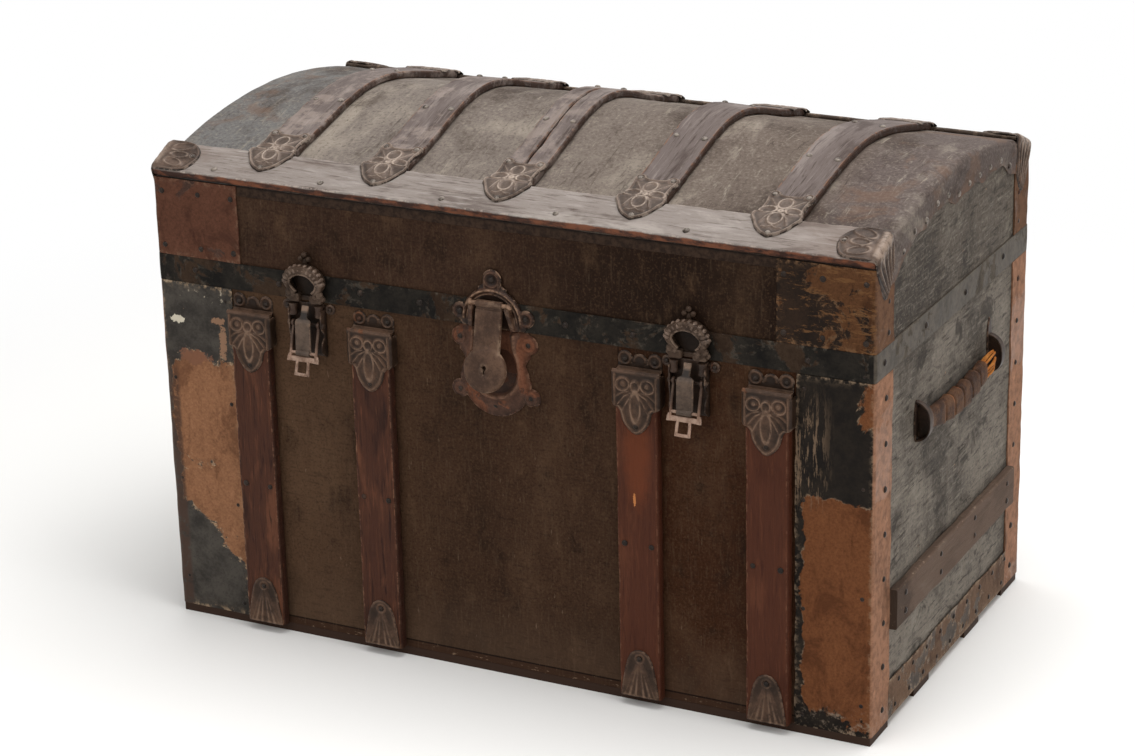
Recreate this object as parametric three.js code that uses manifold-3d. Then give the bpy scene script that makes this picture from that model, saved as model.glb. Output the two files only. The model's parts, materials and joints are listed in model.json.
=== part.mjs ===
// A dome top trunk: a canvas covered pine box with a low domed lid, hardwood slats, sheet iron
// corners, two draw bolts, a hasp lock and a leather handle on each end. Millimetres, +Z up, the
// front faces -Y and the right end +X. The origin is under the middle of the trunk, on the floor.

import * as THREE from 'three';
import * as BufferGeometryUtils from 'three/addons/utils/BufferGeometryUtils.js';
import Module from 'manifold-3d';

const wasm = await Module();
wasm.setup();

// Fits shared by all pieces
const gap = 0.3; // between two pieces that rest on each other
const overrun = 3; // how far a cutting solid runs past what it cuts
const sink = 0.6; // how far two joined forms of one piece run into each other
const pivotPlay = 0.4; // between a pin and its hole, all round

// The box
const boxLength = 762;
const boxDepth = 417;
const baseHeight = 355;
const wallBoard = 11;
const floorBoard = 10;

// The lid: straight walls, a sloped facet front and rear, and a low crown between them
const lidWallHeight = 107;
const facetRun = 40;
const facetRise = 18;
const crownRise = 23.5;
const bulgeHeight = 20; // of the crown's middle over the crown at the ends
const bulgeReach = 140; // from the ridge to where the bulge ends, front and rear
const bulgePower = 1.2; // how fully the bulge keeps its height towards the ends
const bulgeSteps = 24; // along the length
const bowedGap = 0.6; // between the bowed crown and a slat on it
const domeThickness = 10;
const crownSteps = 20;

// Runners under the base
const runnerHeight = 9;
const outerRunnerWidth = 46;
const innerRunnerWidth = 42;
const innerRunnerSpread = 144;

// Sheet iron
const plateThickness = 1.2;
const cornerWrap = 42;
const rearPlateWidth = 82;
const lidPlateWidth = 95;
const bandThickness = 1.5;
const rimBandHeight = 27;
const endBandHeight = 41;

// Hardwood slats
const frontSlatWidth = 43;
const frontSlatThickness = 11;
const frontSlatTopDrop = 20; // its top lies this far under the parting
const frontSlatFloorGap = 1;
const frontSlatPlaceShares = [-0.36, -0.18, 0.195, 0.3685]; // of the box length
const endSlatWidth = 41;
const endSlatThickness = 9;
const endSlatHeight = 95; // of its lower edge over the base's lower edge
const longSlatThickness = 9;
const rearSlatThickness = 4.5; // the long slat at the rear lies much lower
const domeSlatWidth = 43;
const domeSlatThickness = 8;
const domeSlatPlaceShares = [-0.348, -0.182, -0.006, 0.177, 0.356]; // of the box length

// Stamped caps and feet on the front slats
const capWidth = 48.5;
const capThickness = 1.2;
const capShoulder = 34; // from the cap's top edge down to its shoulders
const capLength = 61; // from the cap's top edge down to its tip
const capFlangeHeight = 17;
const footHeight = 50;
const footWidth = 40;

// Stamped clamps where the dome slats meet the long slats
const clampWidth = 50;
const clampThickness = 2;
const clampRise = 38; // up the dome slat
const clampDrop = 33; // down the long slat

// Stamped corner irons on the lid
const cornerClampLength = 40;
const cornerLobeDrop = 36;

// Draw bolts: the crown shaped catch on the lid, the base, the lever and the tongue
const boltPlaceShare = 0.4733; // of the way from the first front slat to the second
const boltSlatSpread = 51.9; // from the third front slat to the right bolt
const catchHalfWidth = 23;
const catchHeight = 37;
const catchDepth = 16;
const catchWall = 3;
const catchPlate = 1.5;
const mouthHeight = 20; // of the hood's sides over the parting
const mouthTilt = 0.75; // radians, how steeply the hood's edge climbs to the front
const sillHeight = 8;
const sillDepth = 7;
const finialBall = 3.3;
const finialSpread = 5;
const finialHeight = 44; // of its two lower balls over the parting
const boltPlateHalfWidth = 19;
const boltPlateHeight = 56;
const boltPlateThickness = 1.5;
const boltEarSpread = 24;
const boltEarRadius = 5.5;
const boltEarDrop = 6.5;
const barrelRadius = 4.6;
const barrelHeight = 12;
const barrelSpread = 14.5;
const barrelDepth = 6;
const barrelDrop = 2;
const cheekThickness = 1.5;
const cheekReach = 10.5;
const boltPinRadius = 1.6;
const boltPinDrop = 22;
const boltPinDepth = 7.5;
const leverTilt = 0.27; // radians, how far the lever leans out at rest
const leverHalfWidth = 15.5;
const leverArm = 3;
const leverLength = 38;
const leverBar = 5;
const leverThickness = 2.2;
const leverEye = 3.4;
const loopHalfWidth = 7.5;
const loopLength = 14;
const loopBar = 3;
const tonguePinLength = 29; // from the lever's pivot down to the tongue's pin
const tongueHalfWidth = 8;
const tongueTipHalfWidth = 4.5;
const tongueThickness = 2.4;
const tongueBulge = 3.4;
const tongueEye = 3.2;
const tongueTipDrop = 3.5; // the tip's top lies this far under the parting
const tongueTipDepth = 7;
const tongueTipLength = 8;

// The lock: a plate on the lid that carries the hasp, and a plate on the base
const lockPlace = -4.3;
const lockPlateThickness = 1.5;
const lockArchRadius = 33;
const lockArchHeight = 8; // of the arch's centre over the parting
const lockRim = 3.2;
const lockRimDepth = 4.5;
const lockLobeRadius = 10;
const lockLobeHeight = 49;
const lockEarRadius = 9;
const lockEarSpread = 35;
const lockEarHeight = 13.5;
const haspPinRadius = 2.1;
const haspPinHeight = 26;
const haspPinDepth = 7;
const haspPinHalfLength = 21.5;
const haspLugWidth = 5;
const haspTilt = 0.2; // radians, how far the hasp leans out at rest
const haspHalfWidth = 14;
const haspThickness = 3;
const haspDiscRadius = 22.4;
const haspDiscDrop = 63; // from the pin to the middle of the disc
const haspDiscThickness = 5;
const haspBossHalfWidth = 10;
const haspBossHeight = 18;
const keyholeRadius = 2;
const keyholeSlot = 1.5;
const keyholeLength = 6.5;
const lowerPlateHalfWidth = 40;
const lowerPlateHeight = 89.7;
const lowerBowlRadius = 37;
const lowerEarRadius = 10;
const lowerEarSpread = 36.5;
const lowerEarDrop = 12.5;
const lowerFootRadius = 9.5;
const lowerFootSpread = 38.5;
const lowerFootDrop = 66;
const ringRadius = 27.5;
const ringDrop = 42;
const ringWidth = 3;
const ringHeight = 4;
const ringMouth = 36;

// Leather handles on the ends
const handleDrop = 74; // of its pins under the parting
const handleSpan = 190; // between the clips' inner faces
const handlePinDepth = 8.5;
const handlePinRadius = 3.5;
const gripWidth = 26;
const gripEndWidth = 15;
const gripThickness = 11;
const gripEndThickness = 8;
const gripSag = 9;
const gripSteps = 12;
const clipWidth = 12;
const clipHeight = 40;
const clipPlate = 1.6;
const clipRadius = 7.6;

// Hinges on the rear
const hingePlaceShare = 0.3; // of the box length, each side of the middle
const hingeLeafWidth = 62;
const hingeLeafHeight = 48;
const hingeLeafThickness = 2;
const hingeKnuckleRadius = 4.5;
const hingePinRadius = 2;
const hingeMiddleKnuckle = 22;
const hingeWebHeight = 9;
const hingeLeafInset = 1.2; // from the parting to the edge of each leaf

// Facets on round forms
const fineSides = 24;
const roundSides = 16;
const coarseSides = 10;

// Heights and faces worked out from the sizes above
const halfLength = boxLength / 2;
const halfDepth = boxDepth / 2;
const partingHeight = runnerHeight + baseHeight;
const crownEdge = halfDepth - facetRun;
const crownRadius = (crownEdge * crownEdge + crownRise * crownRise) / (2 * crownRise);
const facetLength = Math.hypot(facetRun, facetRise);
const facetAlong = new THREE.Vector2(facetRun, facetRise).divideScalar(facetLength);
const facetOut = new THREE.Vector2(-facetAlong.y, facetAlong.x);
const endFace = halfLength + gap;
const frontFace = halfDepth + gap;

// Finishes, by the colours of the real surfaces
const finish = {
  canvas: new THREE.MeshStandardMaterial({ color: 0x43382f, roughness: 0.85, metalness: 0 }),
  domeCanvas: new THREE.MeshStandardMaterial({ color: 0x5d534a, roughness: 0.8, metalness: 0 }),
  endCanvas: new THREE.MeshStandardMaterial({ color: 0x5b5a54, roughness: 0.7, metalness: 0 }),
  pine: new THREE.MeshStandardMaterial({ color: 0x8c6f4e, roughness: 0.8, metalness: 0 }),
  hardwood: new THREE.MeshStandardMaterial({ color: 0x5a3426, roughness: 0.6, metalness: 0 }),
  wornSlat: new THREE.MeshStandardMaterial({ color: 0x7a6a60, roughness: 0.65, metalness: 0 }),
  blackIron: new THREE.MeshStandardMaterial({ color: 0x35352f, roughness: 0.55, metalness: 0.6 }),
  rustedIron: new THREE.MeshStandardMaterial({ color: 0x7d5036, roughness: 0.75, metalness: 0.4 }),
  brownIron: new THREE.MeshStandardMaterial({ color: 0x5b4638, roughness: 0.6, metalness: 0.6 }),
  paleIron: new THREE.MeshStandardMaterial({ color: 0xa08d7e, roughness: 0.5, metalness: 0.7 }),
  leather: new THREE.MeshStandardMaterial({ color: 0x6e5442, roughness: 0.8, metalness: 0 }),
};

// Shapes

function block(x0, x1, y0, y1, z0, z1) {
  const shape = new THREE.BoxGeometry(x1 - x0, y1 - y0, z1 - z0);
  return shape.translate((x0 + x1) / 2, (y0 + y1) / 2, (z0 + z1) / 2);
}

function outlineShape(points) {
  return new THREE.Shape(points.map(([u, v]) => new THREE.Vector2(u, v)));
}

// An outline of [y, z] points, run along X
function alongX(points, x0, x1, steps = 1) {
  const run = { depth: x1 - x0, steps, bevelEnabled: false };
  const shape = new THREE.ExtrudeGeometry(outlineShape(points), run);
  const turn = new THREE.Matrix4().makeBasis(
    new THREE.Vector3(0, 1, 0),
    new THREE.Vector3(0, 0, 1),
    new THREE.Vector3(1, 0, 0),
  );
  return shape.applyMatrix4(turn).translate(x0, 0, 0);
}

// An outline of [x, z] points, run along Y
function alongY(points, y0, y1) {
  const shape = new THREE.ExtrudeGeometry(outlineShape(points), { depth: y1 - y0, bevelEnabled: false });
  const turn = new THREE.Matrix4().makeBasis(
    new THREE.Vector3(1, 0, 0),
    new THREE.Vector3(0, 0, 1),
    new THREE.Vector3(0, -1, 0),
  );
  return shape.applyMatrix4(turn).translate(0, y1, 0);
}

// An outline of [x, y] points, run along Z
function alongZ(points, z0, z1) {
  const shape = new THREE.ExtrudeGeometry(outlineShape(points), { depth: z1 - z0, bevelEnabled: false });
  return shape.translate(0, 0, z0);
}

function rodX(y, z, radius, x0, x1, sides) {
  const shape = new THREE.CylinderGeometry(radius, radius, x1 - x0, sides);
  return shape.rotateZ(-Math.PI / 2).translate((x0 + x1) / 2, y, z);
}

function rodY(x, z, radius, y0, y1, sides) {
  const shape = new THREE.CylinderGeometry(radius, radius, y1 - y0, sides);
  return shape.translate(x, (y0 + y1) / 2, z);
}

function rodZ(x, y, radius, z0, z1, sides) {
  const shape = new THREE.CylinderGeometry(radius, radius, z1 - z0, sides);
  return shape.rotateX(Math.PI / 2).translate(x, y, (z0 + z1) / 2);
}

function ball(x, y, z, radius) {
  return new THREE.SphereGeometry(radius, coarseSides, coarseSides / 2).translate(x, y, z);
}

// Joins and cuts

function toSolid(shape) {
  const plain = shape.clone();
  plain.deleteAttribute('normal');
  plain.deleteAttribute('uv');
  const merged = BufferGeometryUtils.mergeVertices(plain);
  return new wasm.Manifold(new wasm.Mesh({
    numProp: 3,
    vertProperties: Float32Array.from(merged.getAttribute('position').array),
    triVerts: Uint32Array.from(merged.getIndex().array),
  }));
}

function toShape(solid) {
  const mesh = solid.getMesh();
  const shape = new THREE.BufferGeometry();
  shape.setAttribute('position', new THREE.BufferAttribute(mesh.vertProperties, 3));
  shape.setIndex(new THREE.BufferAttribute(mesh.triVerts, 1));
  shape.computeVertexNormals();
  return shape;
}

function join(...shapes) {
  return toShape(shapes.map(toSolid).reduce((whole, piece) => whole.add(piece)));
}

function cut(shape, ...tools) {
  return toShape(tools.map(toSolid).reduce((rest, tool) => rest.subtract(tool), toSolid(shape)));
}

function common(shape, other) {
  return toShape(toSolid(shape).intersect(toSolid(other)));
}

// Scene graph

function mesh(parent, name, shape, material) {
  const piece = new THREE.Mesh(shape, material);
  piece.name = name;
  parent.add(piece);
  return piece;
}

function group(parent, x, y, z) {
  const place = new THREE.Group();
  place.position.set(x, y, z);
  parent.add(place);
  return place;
}

function halfTurn(parent) {
  const place = group(parent, 0, 0, 0);
  place.rotation.z = Math.PI;
  return place;
}

// An outline from half of it, given as [half width share, length share] pairs from top to bottom
function shield(shares, halfWidth, length, top) {
  const right = shares.map(([w, h]) => [w * halfWidth, top - h * length]);
  const left = shares.filter(([w]) => w > 0).map(([w, h]) => [-w * halfWidth, top - h * length]);
  return [...right, ...left.reverse()];
}

// The dome's outer height over the top of the lid's straight walls
function domeHeight(y) {
  if (Math.abs(y) > crownEdge) {
    return (facetRise * (halfDepth - Math.abs(y))) / facetRun;
  }
  return facetRise + crownRise - crownRadius + Math.sqrt(crownRadius * crownRadius - y * y);
}

// Points along the crown from one y to another, lifted off the dome
function crownLine(from, to, lift) {
  return Array.from({ length: crownSteps + 1 }, (_, step) => {
    const y = from + ((to - from) * step) / crownSteps;
    return [y, lidWallHeight + domeHeight(y) + lift];
  });
}

// How much higher the crown stands at a place than at the ends: the old boards have bowed up
function domeBulge(x, y) {
  if (Math.abs(y) > bulgeReach || Math.abs(x) > halfLength) {
    return 0;
  }
  const along = (1 - (x / halfLength) ** 2) ** bulgePower;
  return (bulgeHeight * along * (1 + Math.cos((Math.PI * y) / bulgeReach))) / 2;
}

// A form that lies on the dome, raised by the bulge; place is where it stands along X
function bulged(shape, place) {
  const points = shape.getAttribute('position');
  for (let index = 0; index < points.count; index += 1) {
    const rise = domeBulge(points.getX(index) + place, points.getY(index));
    points.setZ(index, points.getZ(index) + rise);
  }
  shape.computeVertexNormals();
  return shape;
}

// A point on the front facet, so far up it and so far off it
function facetPoint(along, lift) {
  const y = -halfDepth + facetAlong.x * along + facetOut.x * lift;
  const z = lidWallHeight + facetAlong.y * along + facetOut.y * lift;
  return [y, z];
}

// Base

function baseBoards(base) {
  const inner = halfDepth - wallBoard - gap;
  const innerEnd = halfLength - wallBoard - gap;
  const wall = block(-halfLength, halfLength, -wallBoard / 2, wallBoard / 2, 0, baseHeight);
  const wallPlace = halfDepth - wallBoard / 2;
  mesh(base, 'base_front_board', wall, finish.canvas).position.y = -wallPlace;
  mesh(base, 'base_back_board', wall, finish.canvas).position.y = wallPlace;
  const end = block(-wallBoard / 2, wallBoard / 2, -inner, inner, 0, baseHeight);
  const endPlace = halfLength - wallBoard / 2;
  mesh(base, 'base_left_end_board', end, finish.endCanvas).position.x = -endPlace;
  mesh(base, 'base_right_end_board', end, finish.endCanvas).position.x = endPlace;
  const floor = block(-innerEnd, innerEnd, -inner, inner, 0, floorBoard);
  mesh(base, 'base_floor_board', floor, finish.pine);
}

function runners(trunk) {
  const outerPlace = halfDepth - outerRunnerWidth / 2;
  const innerPlace = innerRunnerSpread / 2;
  const rows = [
    ['runner_front', -outerPlace, outerRunnerWidth],
    ['runner_mid_front', -innerPlace, innerRunnerWidth],
    ['runner_mid_rear', innerPlace, innerRunnerWidth],
    ['runner_rear', outerPlace, outerRunnerWidth],
  ];
  for (const [name, y, width] of rows) {
    const shape = block(-halfLength, halfLength, -width / 2, width / 2, 0, runnerHeight - gap);
    mesh(trunk, name, shape, finish.hardwood).position.y = y;
  }
}

function frontSlatPlaces() {
  return frontSlatPlaceShares.map((share) => share * boxLength);
}

// An L section sheet round one corner of the box, with its arms to the sides given by two signs
function cornerOutline(sideX, sideY, width) {
  const x0 = endFace;
  const y0 = frontFace;
  const points = [
    [x0 + plateThickness, y0 + plateThickness],
    [halfLength - width, y0 + plateThickness],
    [halfLength - width, y0],
    [x0, y0],
    [x0, halfDepth - cornerWrap],
    [x0 + plateThickness, halfDepth - cornerWrap],
  ];
  return points.map(([x, y]) => [sideX * x, sideY * y]);
}

function baseCornerPlates(base) {
  const places = frontSlatPlaces();
  const reachLeft = halfLength + places[0] - capWidth / 2 - gap;
  const reachRight = halfLength - places[places.length - 1] - capWidth / 2 - gap;
  const corners = [
    ['base_corner_plate_front_left', -1, -1, reachLeft],
    ['base_corner_plate_front_right', 1, -1, reachRight],
    ['base_corner_plate_rear_left', -1, 1, rearPlateWidth],
    ['base_corner_plate_rear_right', 1, 1, rearPlateWidth],
  ];
  for (const [name, sideX, sideY, width] of corners) {
    const outline = cornerOutline(sideX, sideY, width);
    mesh(base, name, alongZ(outline, 0, baseHeight - gap), finish.rustedIron);
  }
}

// The iron band along the foot of an end and the wooden slat over it
function endTrim(place, side) {
  const reach = halfDepth - cornerWrap - gap;
  const band = block(endFace, endFace + plateThickness, -reach, reach, 0, endBandHeight);
  mesh(place, `end_foot_band_${side}`, band, finish.rustedIron);
  const top = endSlatHeight + endSlatWidth;
  const slat = block(endFace, endFace + endSlatThickness, -reach, reach, endSlatHeight, top);
  mesh(place, `end_slat_${side}`, slat, finish.wornSlat);
}

// Half of the outlines of the stamped cap, its flange and the foot, as shares
const capShares = [[1, 0], [1, 0.56], [0.86, 0.58], [0.66, 0.7], [0.56, 0.82], [0.36, 0.93], [0, 1]];
const flangeShares = [[0, 0.3], [0.22, 0.32], [0.36, 0.1], [0.62, 0], [0.86, 0.14], [0.96, 0.45], [0.96, 1]];
const footShares = [[0, 0], [0.3, 0.05], [0.52, 0.2], [0.62, 0.45], [0.74, 0.68], [1, 0.86], [1, 1]];

// A front slat with its stamped cap and foot, from its own lower end upwards
function frontSlatShape() {
  const length = baseHeight - frontSlatTopDrop - frontSlatFloorGap;
  const face = frontSlatThickness;
  const half = frontSlatWidth / 2;
  const capHalf = capWidth / 2;
  const capFace = face + capThickness;
  const slat = block(-half, half, -face, 0, 0, length);
  const hoodFoot = length - capShoulder;
  const hood = block(-capHalf, capHalf, -capFace, 0, hoodFoot, length + capThickness);
  const point = alongY(shield(capShares, capHalf, capLength, length), -capFace, sink - face);
  const flangeTop = length + capFlangeHeight;
  const flangeOutline = shield(flangeShares, capHalf, capFlangeHeight, flangeTop);
  const flange = alongY(flangeOutline, -capThickness, 0);
  const foot = alongY(shield(footShares, footWidth / 2, footHeight, footHeight), -capFace, sink - face);
  return join(slat, hood, point, flange, foot);
}

function frontSlats(base) {
  const shape = frontSlatShape();
  frontSlatPlaces().forEach((x, index) => {
    const slat = mesh(base, `front_slat_${index + 1}`, shape, finish.hardwood);
    slat.position.set(x, -frontFace, frontSlatFloorGap);
  });
}

// Lid

function lidBoards(lid) {
  const innerFace = -halfDepth + wallBoard;
  const under = (y) => lidWallHeight + domeHeight(y) - domeThickness - gap;
  const wallOutline = [
    [-halfDepth, 0],
    [innerFace, 0],
    [innerFace, under(innerFace)],
    [-halfDepth, under(-halfDepth)],
  ];
  const wall = alongX(wallOutline, -halfLength, halfLength);
  mesh(lid, 'lid_front_board', wall, finish.canvas);
  mesh(halfTurn(lid), 'lid_back_board', wall, finish.canvas);
  const inner = halfDepth - wallBoard - gap;
  const top = crownLine(-crownEdge, crownEdge, -domeThickness - gap);
  const outline = [[-inner, 0], [-inner, under(inner)], ...top, [inner, under(inner)], [inner, 0]];
  const end = alongX(outline, halfLength - wallBoard, halfLength);
  mesh(lid, 'lid_right_end_board', end, finish.endCanvas);
  mesh(halfTurn(lid), 'lid_left_end_board', end, finish.endCanvas);
}

function domeTop(lid) {
  const edge = (lift) => [halfDepth, lidWallHeight + lift];
  const line = (lift) => {
    const [y, z] = edge(lift);
    return [[-y, z], ...crownLine(-crownEdge, crownEdge, lift), [y, z]];
  };
  const outline = [...line(0), ...line(-domeThickness).reverse()];
  const top = bulged(alongX(outline, -halfLength, halfLength, bulgeSteps), 0);
  mesh(lid, 'dome_top', top, finish.domeCanvas);
}

function rimBand(lid) {
  const outerX = endFace + bandThickness;
  const outerY = frontFace + bandThickness;
  const whole = block(-outerX, outerX, -outerY, outerY, 0, rimBandHeight);
  const hole = block(-endFace, endFace, -frontFace, frontFace, -overrun, rimBandHeight + overrun);
  mesh(lid, 'lid_rim_band', cut(whole, hole), finish.blackIron);
}

function longSlat(thickness) {
  const outline = [
    facetPoint(0, gap),
    facetPoint(facetLength, gap),
    facetPoint(facetLength, gap + thickness),
    facetPoint(0, gap + thickness),
  ];
  return alongX(outline, -halfLength, halfLength);
}

function longSlats(lid) {
  mesh(lid, 'long_slat_front', longSlat(longSlatThickness), finish.wornSlat);
  mesh(halfTurn(lid), 'long_slat_rear', longSlat(rearSlatThickness), finish.wornSlat);
}

// Half of the outline of a dome slat's stamped clamp, from its upper edge to its tip
const clampShares = [
  [0, 0.09], [0.4, 0.1], [0.62, 0], [0.9, 0], [0.98, 0.14], [0.86, 0.3],
  [0.96, 0.52], [0.8, 0.66], [0.68, 0.8], [0.42, 0.92], [0, 1],
];

// The clamp's sheet bends from the dome slat down onto the long slat, and the shield cuts it out
function clampShape(slatThickness) {
  const upper = -crownEdge + clampRise;
  const lower = facetLength - clampDrop;
  const onSlat = slatThickness + 2 * gap;
  const slatTop = (y) => lidWallHeight + domeHeight(y) + domeSlatThickness;
  const edge = -crownEdge + gap;
  const bent = alongX([
    [upper, slatTop(upper) - sink],
    [upper, slatTop(upper) + clampThickness],
    [edge, slatTop(edge) + clampThickness],
    facetPoint(facetLength, onSlat + clampThickness),
    facetPoint(lower, onSlat + clampThickness),
    facetPoint(lower, onSlat),
    facetPoint(facetLength, onSlat),
    [edge, slatTop(edge) - sink],
  ], -clampWidth / 2, clampWidth / 2);
  const tip = facetPoint(lower, onSlat)[0];
  const outline = shield(clampShares, clampWidth / 2, upper - tip, upper);
  return common(bent, alongZ(outline, lidWallHeight, lidWallHeight + boxDepth));
}

function domeSlatShape() {
  const half = domeSlatWidth / 2;
  const reach = crownEdge - gap;
  const top = crownLine(-reach, reach, domeSlatThickness);
  const bottom = crownLine(-reach, reach, bowedGap).reverse();
  const clamp = clampShape(longSlatThickness);
  const rearClamp = clampShape(rearSlatThickness).rotateZ(Math.PI);
  return join(alongX([...top, ...bottom], -half, half), clamp, rearClamp);
}

function domeSlats(lid) {
  const shape = domeSlatShape();
  domeSlatPlaceShares.forEach((share, index) => {
    const place = share * boxLength;
    const bowed = bulged(shape.clone(), place);
    mesh(lid, `dome_slat_${index + 1}`, bowed, finish.hardwood).position.x = place;
  });
}

// Shares of the corner clamp's length and of the facet's, from the end inwards
const cornerClampShares = [
  [0, 0.02], [0.62, 0.02], [0.9, 0.2], [1, 0.5], [0.9, 0.78], [0.62, 0.98], [0, 0.98],
];

// The corner iron: a plate round the corner, a clamp over the long slat and a lobe down the end
function cornerIronShape(slatThickness) {
  const low = rimBandHeight + gap;
  const high = lidWallHeight - gap;
  const plate = alongZ(cornerOutline(1, -1, lidPlateWidth), low, high);
  const outer = endFace + plateThickness;
  const onSlat = slatThickness + 2 * gap;
  const face = onSlat + plateThickness;
  const sheet = alongX([
    facetPoint(0, onSlat),
    facetPoint(facetLength, onSlat),
    facetPoint(facetLength, face),
    facetPoint(0, face),
  ], halfLength - cornerClampLength, outer);
  const plan = cornerClampShares.map(([u, v]) => {
    const [y] = facetPoint(v * facetLength, onSlat);
    return [outer - u * (cornerClampLength + outer - halfLength), y];
  });
  const clamp = common(sheet, alongZ(plan, 0, lidWallHeight + boxDepth));
  const lobe = alongX([
    facetPoint(0, face),
    facetPoint(facetLength, face),
    facetPoint(facetLength, 0),
    [-crownEdge, lidWallHeight - cornerLobeDrop / 2],
    [-crownEdge - facetRun / 4, lidWallHeight - cornerLobeDrop],
    [-halfDepth, lidWallHeight - cornerLobeDrop / 4],
    [-frontFace, lidWallHeight],
  ], endFace, outer);
  return join(plate, lobe, clamp);
}

function mirroredX(shape) {
  const other = shape.clone().scale(-1, 1, 1);
  other.setIndex(Array.from(other.getIndex().array).reverse());
  return other;
}

function cornerIrons(lid) {
  const front = cornerIronShape(longSlatThickness);
  const rear = cornerIronShape(rearSlatThickness);
  mesh(lid, 'lid_corner_iron_front_right', front, finish.rustedIron);
  mesh(lid, 'lid_corner_iron_front_left', mirroredX(front), finish.rustedIron);
  mesh(halfTurn(lid), 'lid_corner_iron_rear_left', rear, finish.rustedIron);
  mesh(halfTurn(lid), 'lid_corner_iron_rear_right', mirroredX(rear), finish.rustedIron);
}

// Draw bolts. Each group has its origin on the front face at the parting, and -Y points outwards

function catchShape() {
  const unit = new THREE.SphereGeometry(1, fineSides, roundSides);
  const rise = catchHeight - mouthHeight;
  const outer = unit.clone().scale(catchHalfWidth, catchDepth, rise).translate(0, 0, mouthHeight);
  const hollow = unit.clone()
    .scale(catchHalfWidth - catchWall, catchDepth - catchWall, rise - catchWall)
    .translate(0, 0, mouthHeight);
  const wide = 2 * catchHalfWidth;
  const below = block(-wide, wide, -wide, wide, -wide, 0).rotateX(-mouthTilt).translate(0, 0, mouthHeight);
  const behind = block(-wide, wide, 0, wide, -wide, wide);
  const hood = cut(outer, hollow, below, behind);
  const half = catchHalfWidth - catchWall;
  const plate = join(
    block(-half, half, -catchPlate, 0, 0, mouthHeight),
    rodY(0, mouthHeight, half, -catchPlate, 0, fineSides),
    block(-finialBall, finialBall, -catchPlate, 0, mouthHeight, finialHeight + finialSpread),
    block(-finialSpread, finialSpread, -catchPlate, 0, finialHeight - finialBall, finialHeight),
  );
  const sill = block(-half, half, -sillDepth, 0, 0, sillHeight);
  const depth = -finialBall / 2;
  const balls = [
    ball(-finialSpread, depth, finialHeight, finialBall),
    ball(finialSpread, depth, finialHeight, finialBall),
    ball(0, depth, finialHeight + finialSpread, finialBall),
  ];
  const under = block(-wide, wide, -wide, wide, -wide, 0);
  return cut(join(hood, plate, sill, ...balls), block(-wide, wide, 0, wide, -wide, 2 * wide), under);
}

function boltBaseShape() {
  const half = boltPlateHalfWidth;
  const low = -boltPlateHeight;
  const plate = block(-half, half, -boltPlateThickness, 0, low, -barrelDrop);
  const parts = [plate];
  for (const side of [-1, 1]) {
    const ear = rodY(side * boltEarSpread, -boltEarDrop, boltEarRadius, -boltPlateThickness, 0, roundSides);
    const barrelTop = -barrelDrop;
    const barrelX = side * barrelSpread;
    const barrel = rodZ(barrelX, -barrelDepth, barrelRadius, barrelTop - barrelHeight, barrelTop, roundSides);
    const x0 = Math.min(side * half, side * (half - cheekThickness));
    const cheek = block(x0, x0 + cheekThickness, -cheekReach, 0, low, barrelTop - barrelRadius);
    parts.push(ear, barrel, cheek);
  }
  const pin = rodX(-boltPinDepth, -boltPinDrop, boltPinRadius, -half, half, coarseSides);
  return join(...parts, pin);
}

// The lever, drawn flat and hanging from its pivot at the origin
function leverShape() {
  const outer = leverHalfWidth;
  const inner = leverHalfWidth - leverArm;
  const back = leverThickness / 2;
  const frame = cut(
    block(-outer, outer, -back, back, -leverLength, 0),
    block(-inner, inner, -overrun, overrun, leverBar - leverLength, overrun),
  );
  const low = -leverLength - loopLength;
  const loop = cut(
    block(-loopHalfWidth, loopHalfWidth, -back, back, low, sink - leverLength),
    block(
      loopBar - loopHalfWidth, loopHalfWidth - loopBar, -overrun, overrun,
      low + loopBar, -leverLength,
    ),
  );
  const eyes = [-1, 1].map((side) => {
    const x0 = Math.min(side * outer, side * inner);
    return rodX(0, 0, leverEye, x0, x0 + leverArm, roundSides);
  });
  const pin = rodX(0, -tonguePinLength, boltPinRadius, -outer, outer, coarseSides);
  const bore = rodX(0, 0, boltPinRadius + pivotPlay, -outer - overrun, outer + overrun, coarseSides);
  return cut(join(frame, loop, ...eyes, pin), bore);
}

// Where the lever's tongue pin lies, from the bolt's origin, as [y, z]
function tonguePin() {
  const y = -boltPinDepth - tonguePinLength * Math.sin(leverTilt);
  const z = -boltPinDrop - tonguePinLength * Math.cos(leverTilt);
  return [y, z];
}

// The sprung tongue, from its eye on the lever's pin up to its tip under the catch
function tongueShape() {
  const [pinY, pinZ] = tonguePin();
  const tip = new THREE.Vector2(-tongueTipDepth - pinY, -tongueTipDrop - pinZ);
  const out = new THREE.Vector2(-tip.y, tip.x).normalize();
  const steps = coarseSides;
  const line = (lift) => Array.from({ length: steps + 1 }, (_, step) => {
    const share = step / steps;
    const bow = lift + tongueBulge * Math.sin(Math.PI * share);
    return [tip.x * share + out.x * bow, tip.y * share + out.y * bow];
  });
  const strip = [...line(-tongueThickness / 2), ...line(tongueThickness / 2).reverse()];
  const body = alongX(strip, -tongueHalfWidth, tongueHalfWidth);
  const wide = 2 * leverHalfWidth;
  const shoulder = tip.y - tongueTipLength;
  const notches = [-1, 1].map((side) => {
    const x0 = Math.min(side * tongueTipHalfWidth, side * wide);
    return block(x0, x0 + wide - tongueTipHalfWidth, -wide, wide, shoulder, tip.y + wide);
  });
  const eye = rodX(0, 0, tongueEye, -tongueHalfWidth, tongueHalfWidth, roundSides);
  const bore = rodX(0, 0, boltPinRadius + pivotPlay, -wide, wide, coarseSides);
  return cut(join(body, eye), ...notches, bore);
}

function drawBoltPlaces() {
  const [first, second, third] = frontSlatPlaces();
  return { left: first + boltPlaceShare * (second - first), right: third + boltSlatSpread };
}

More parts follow.
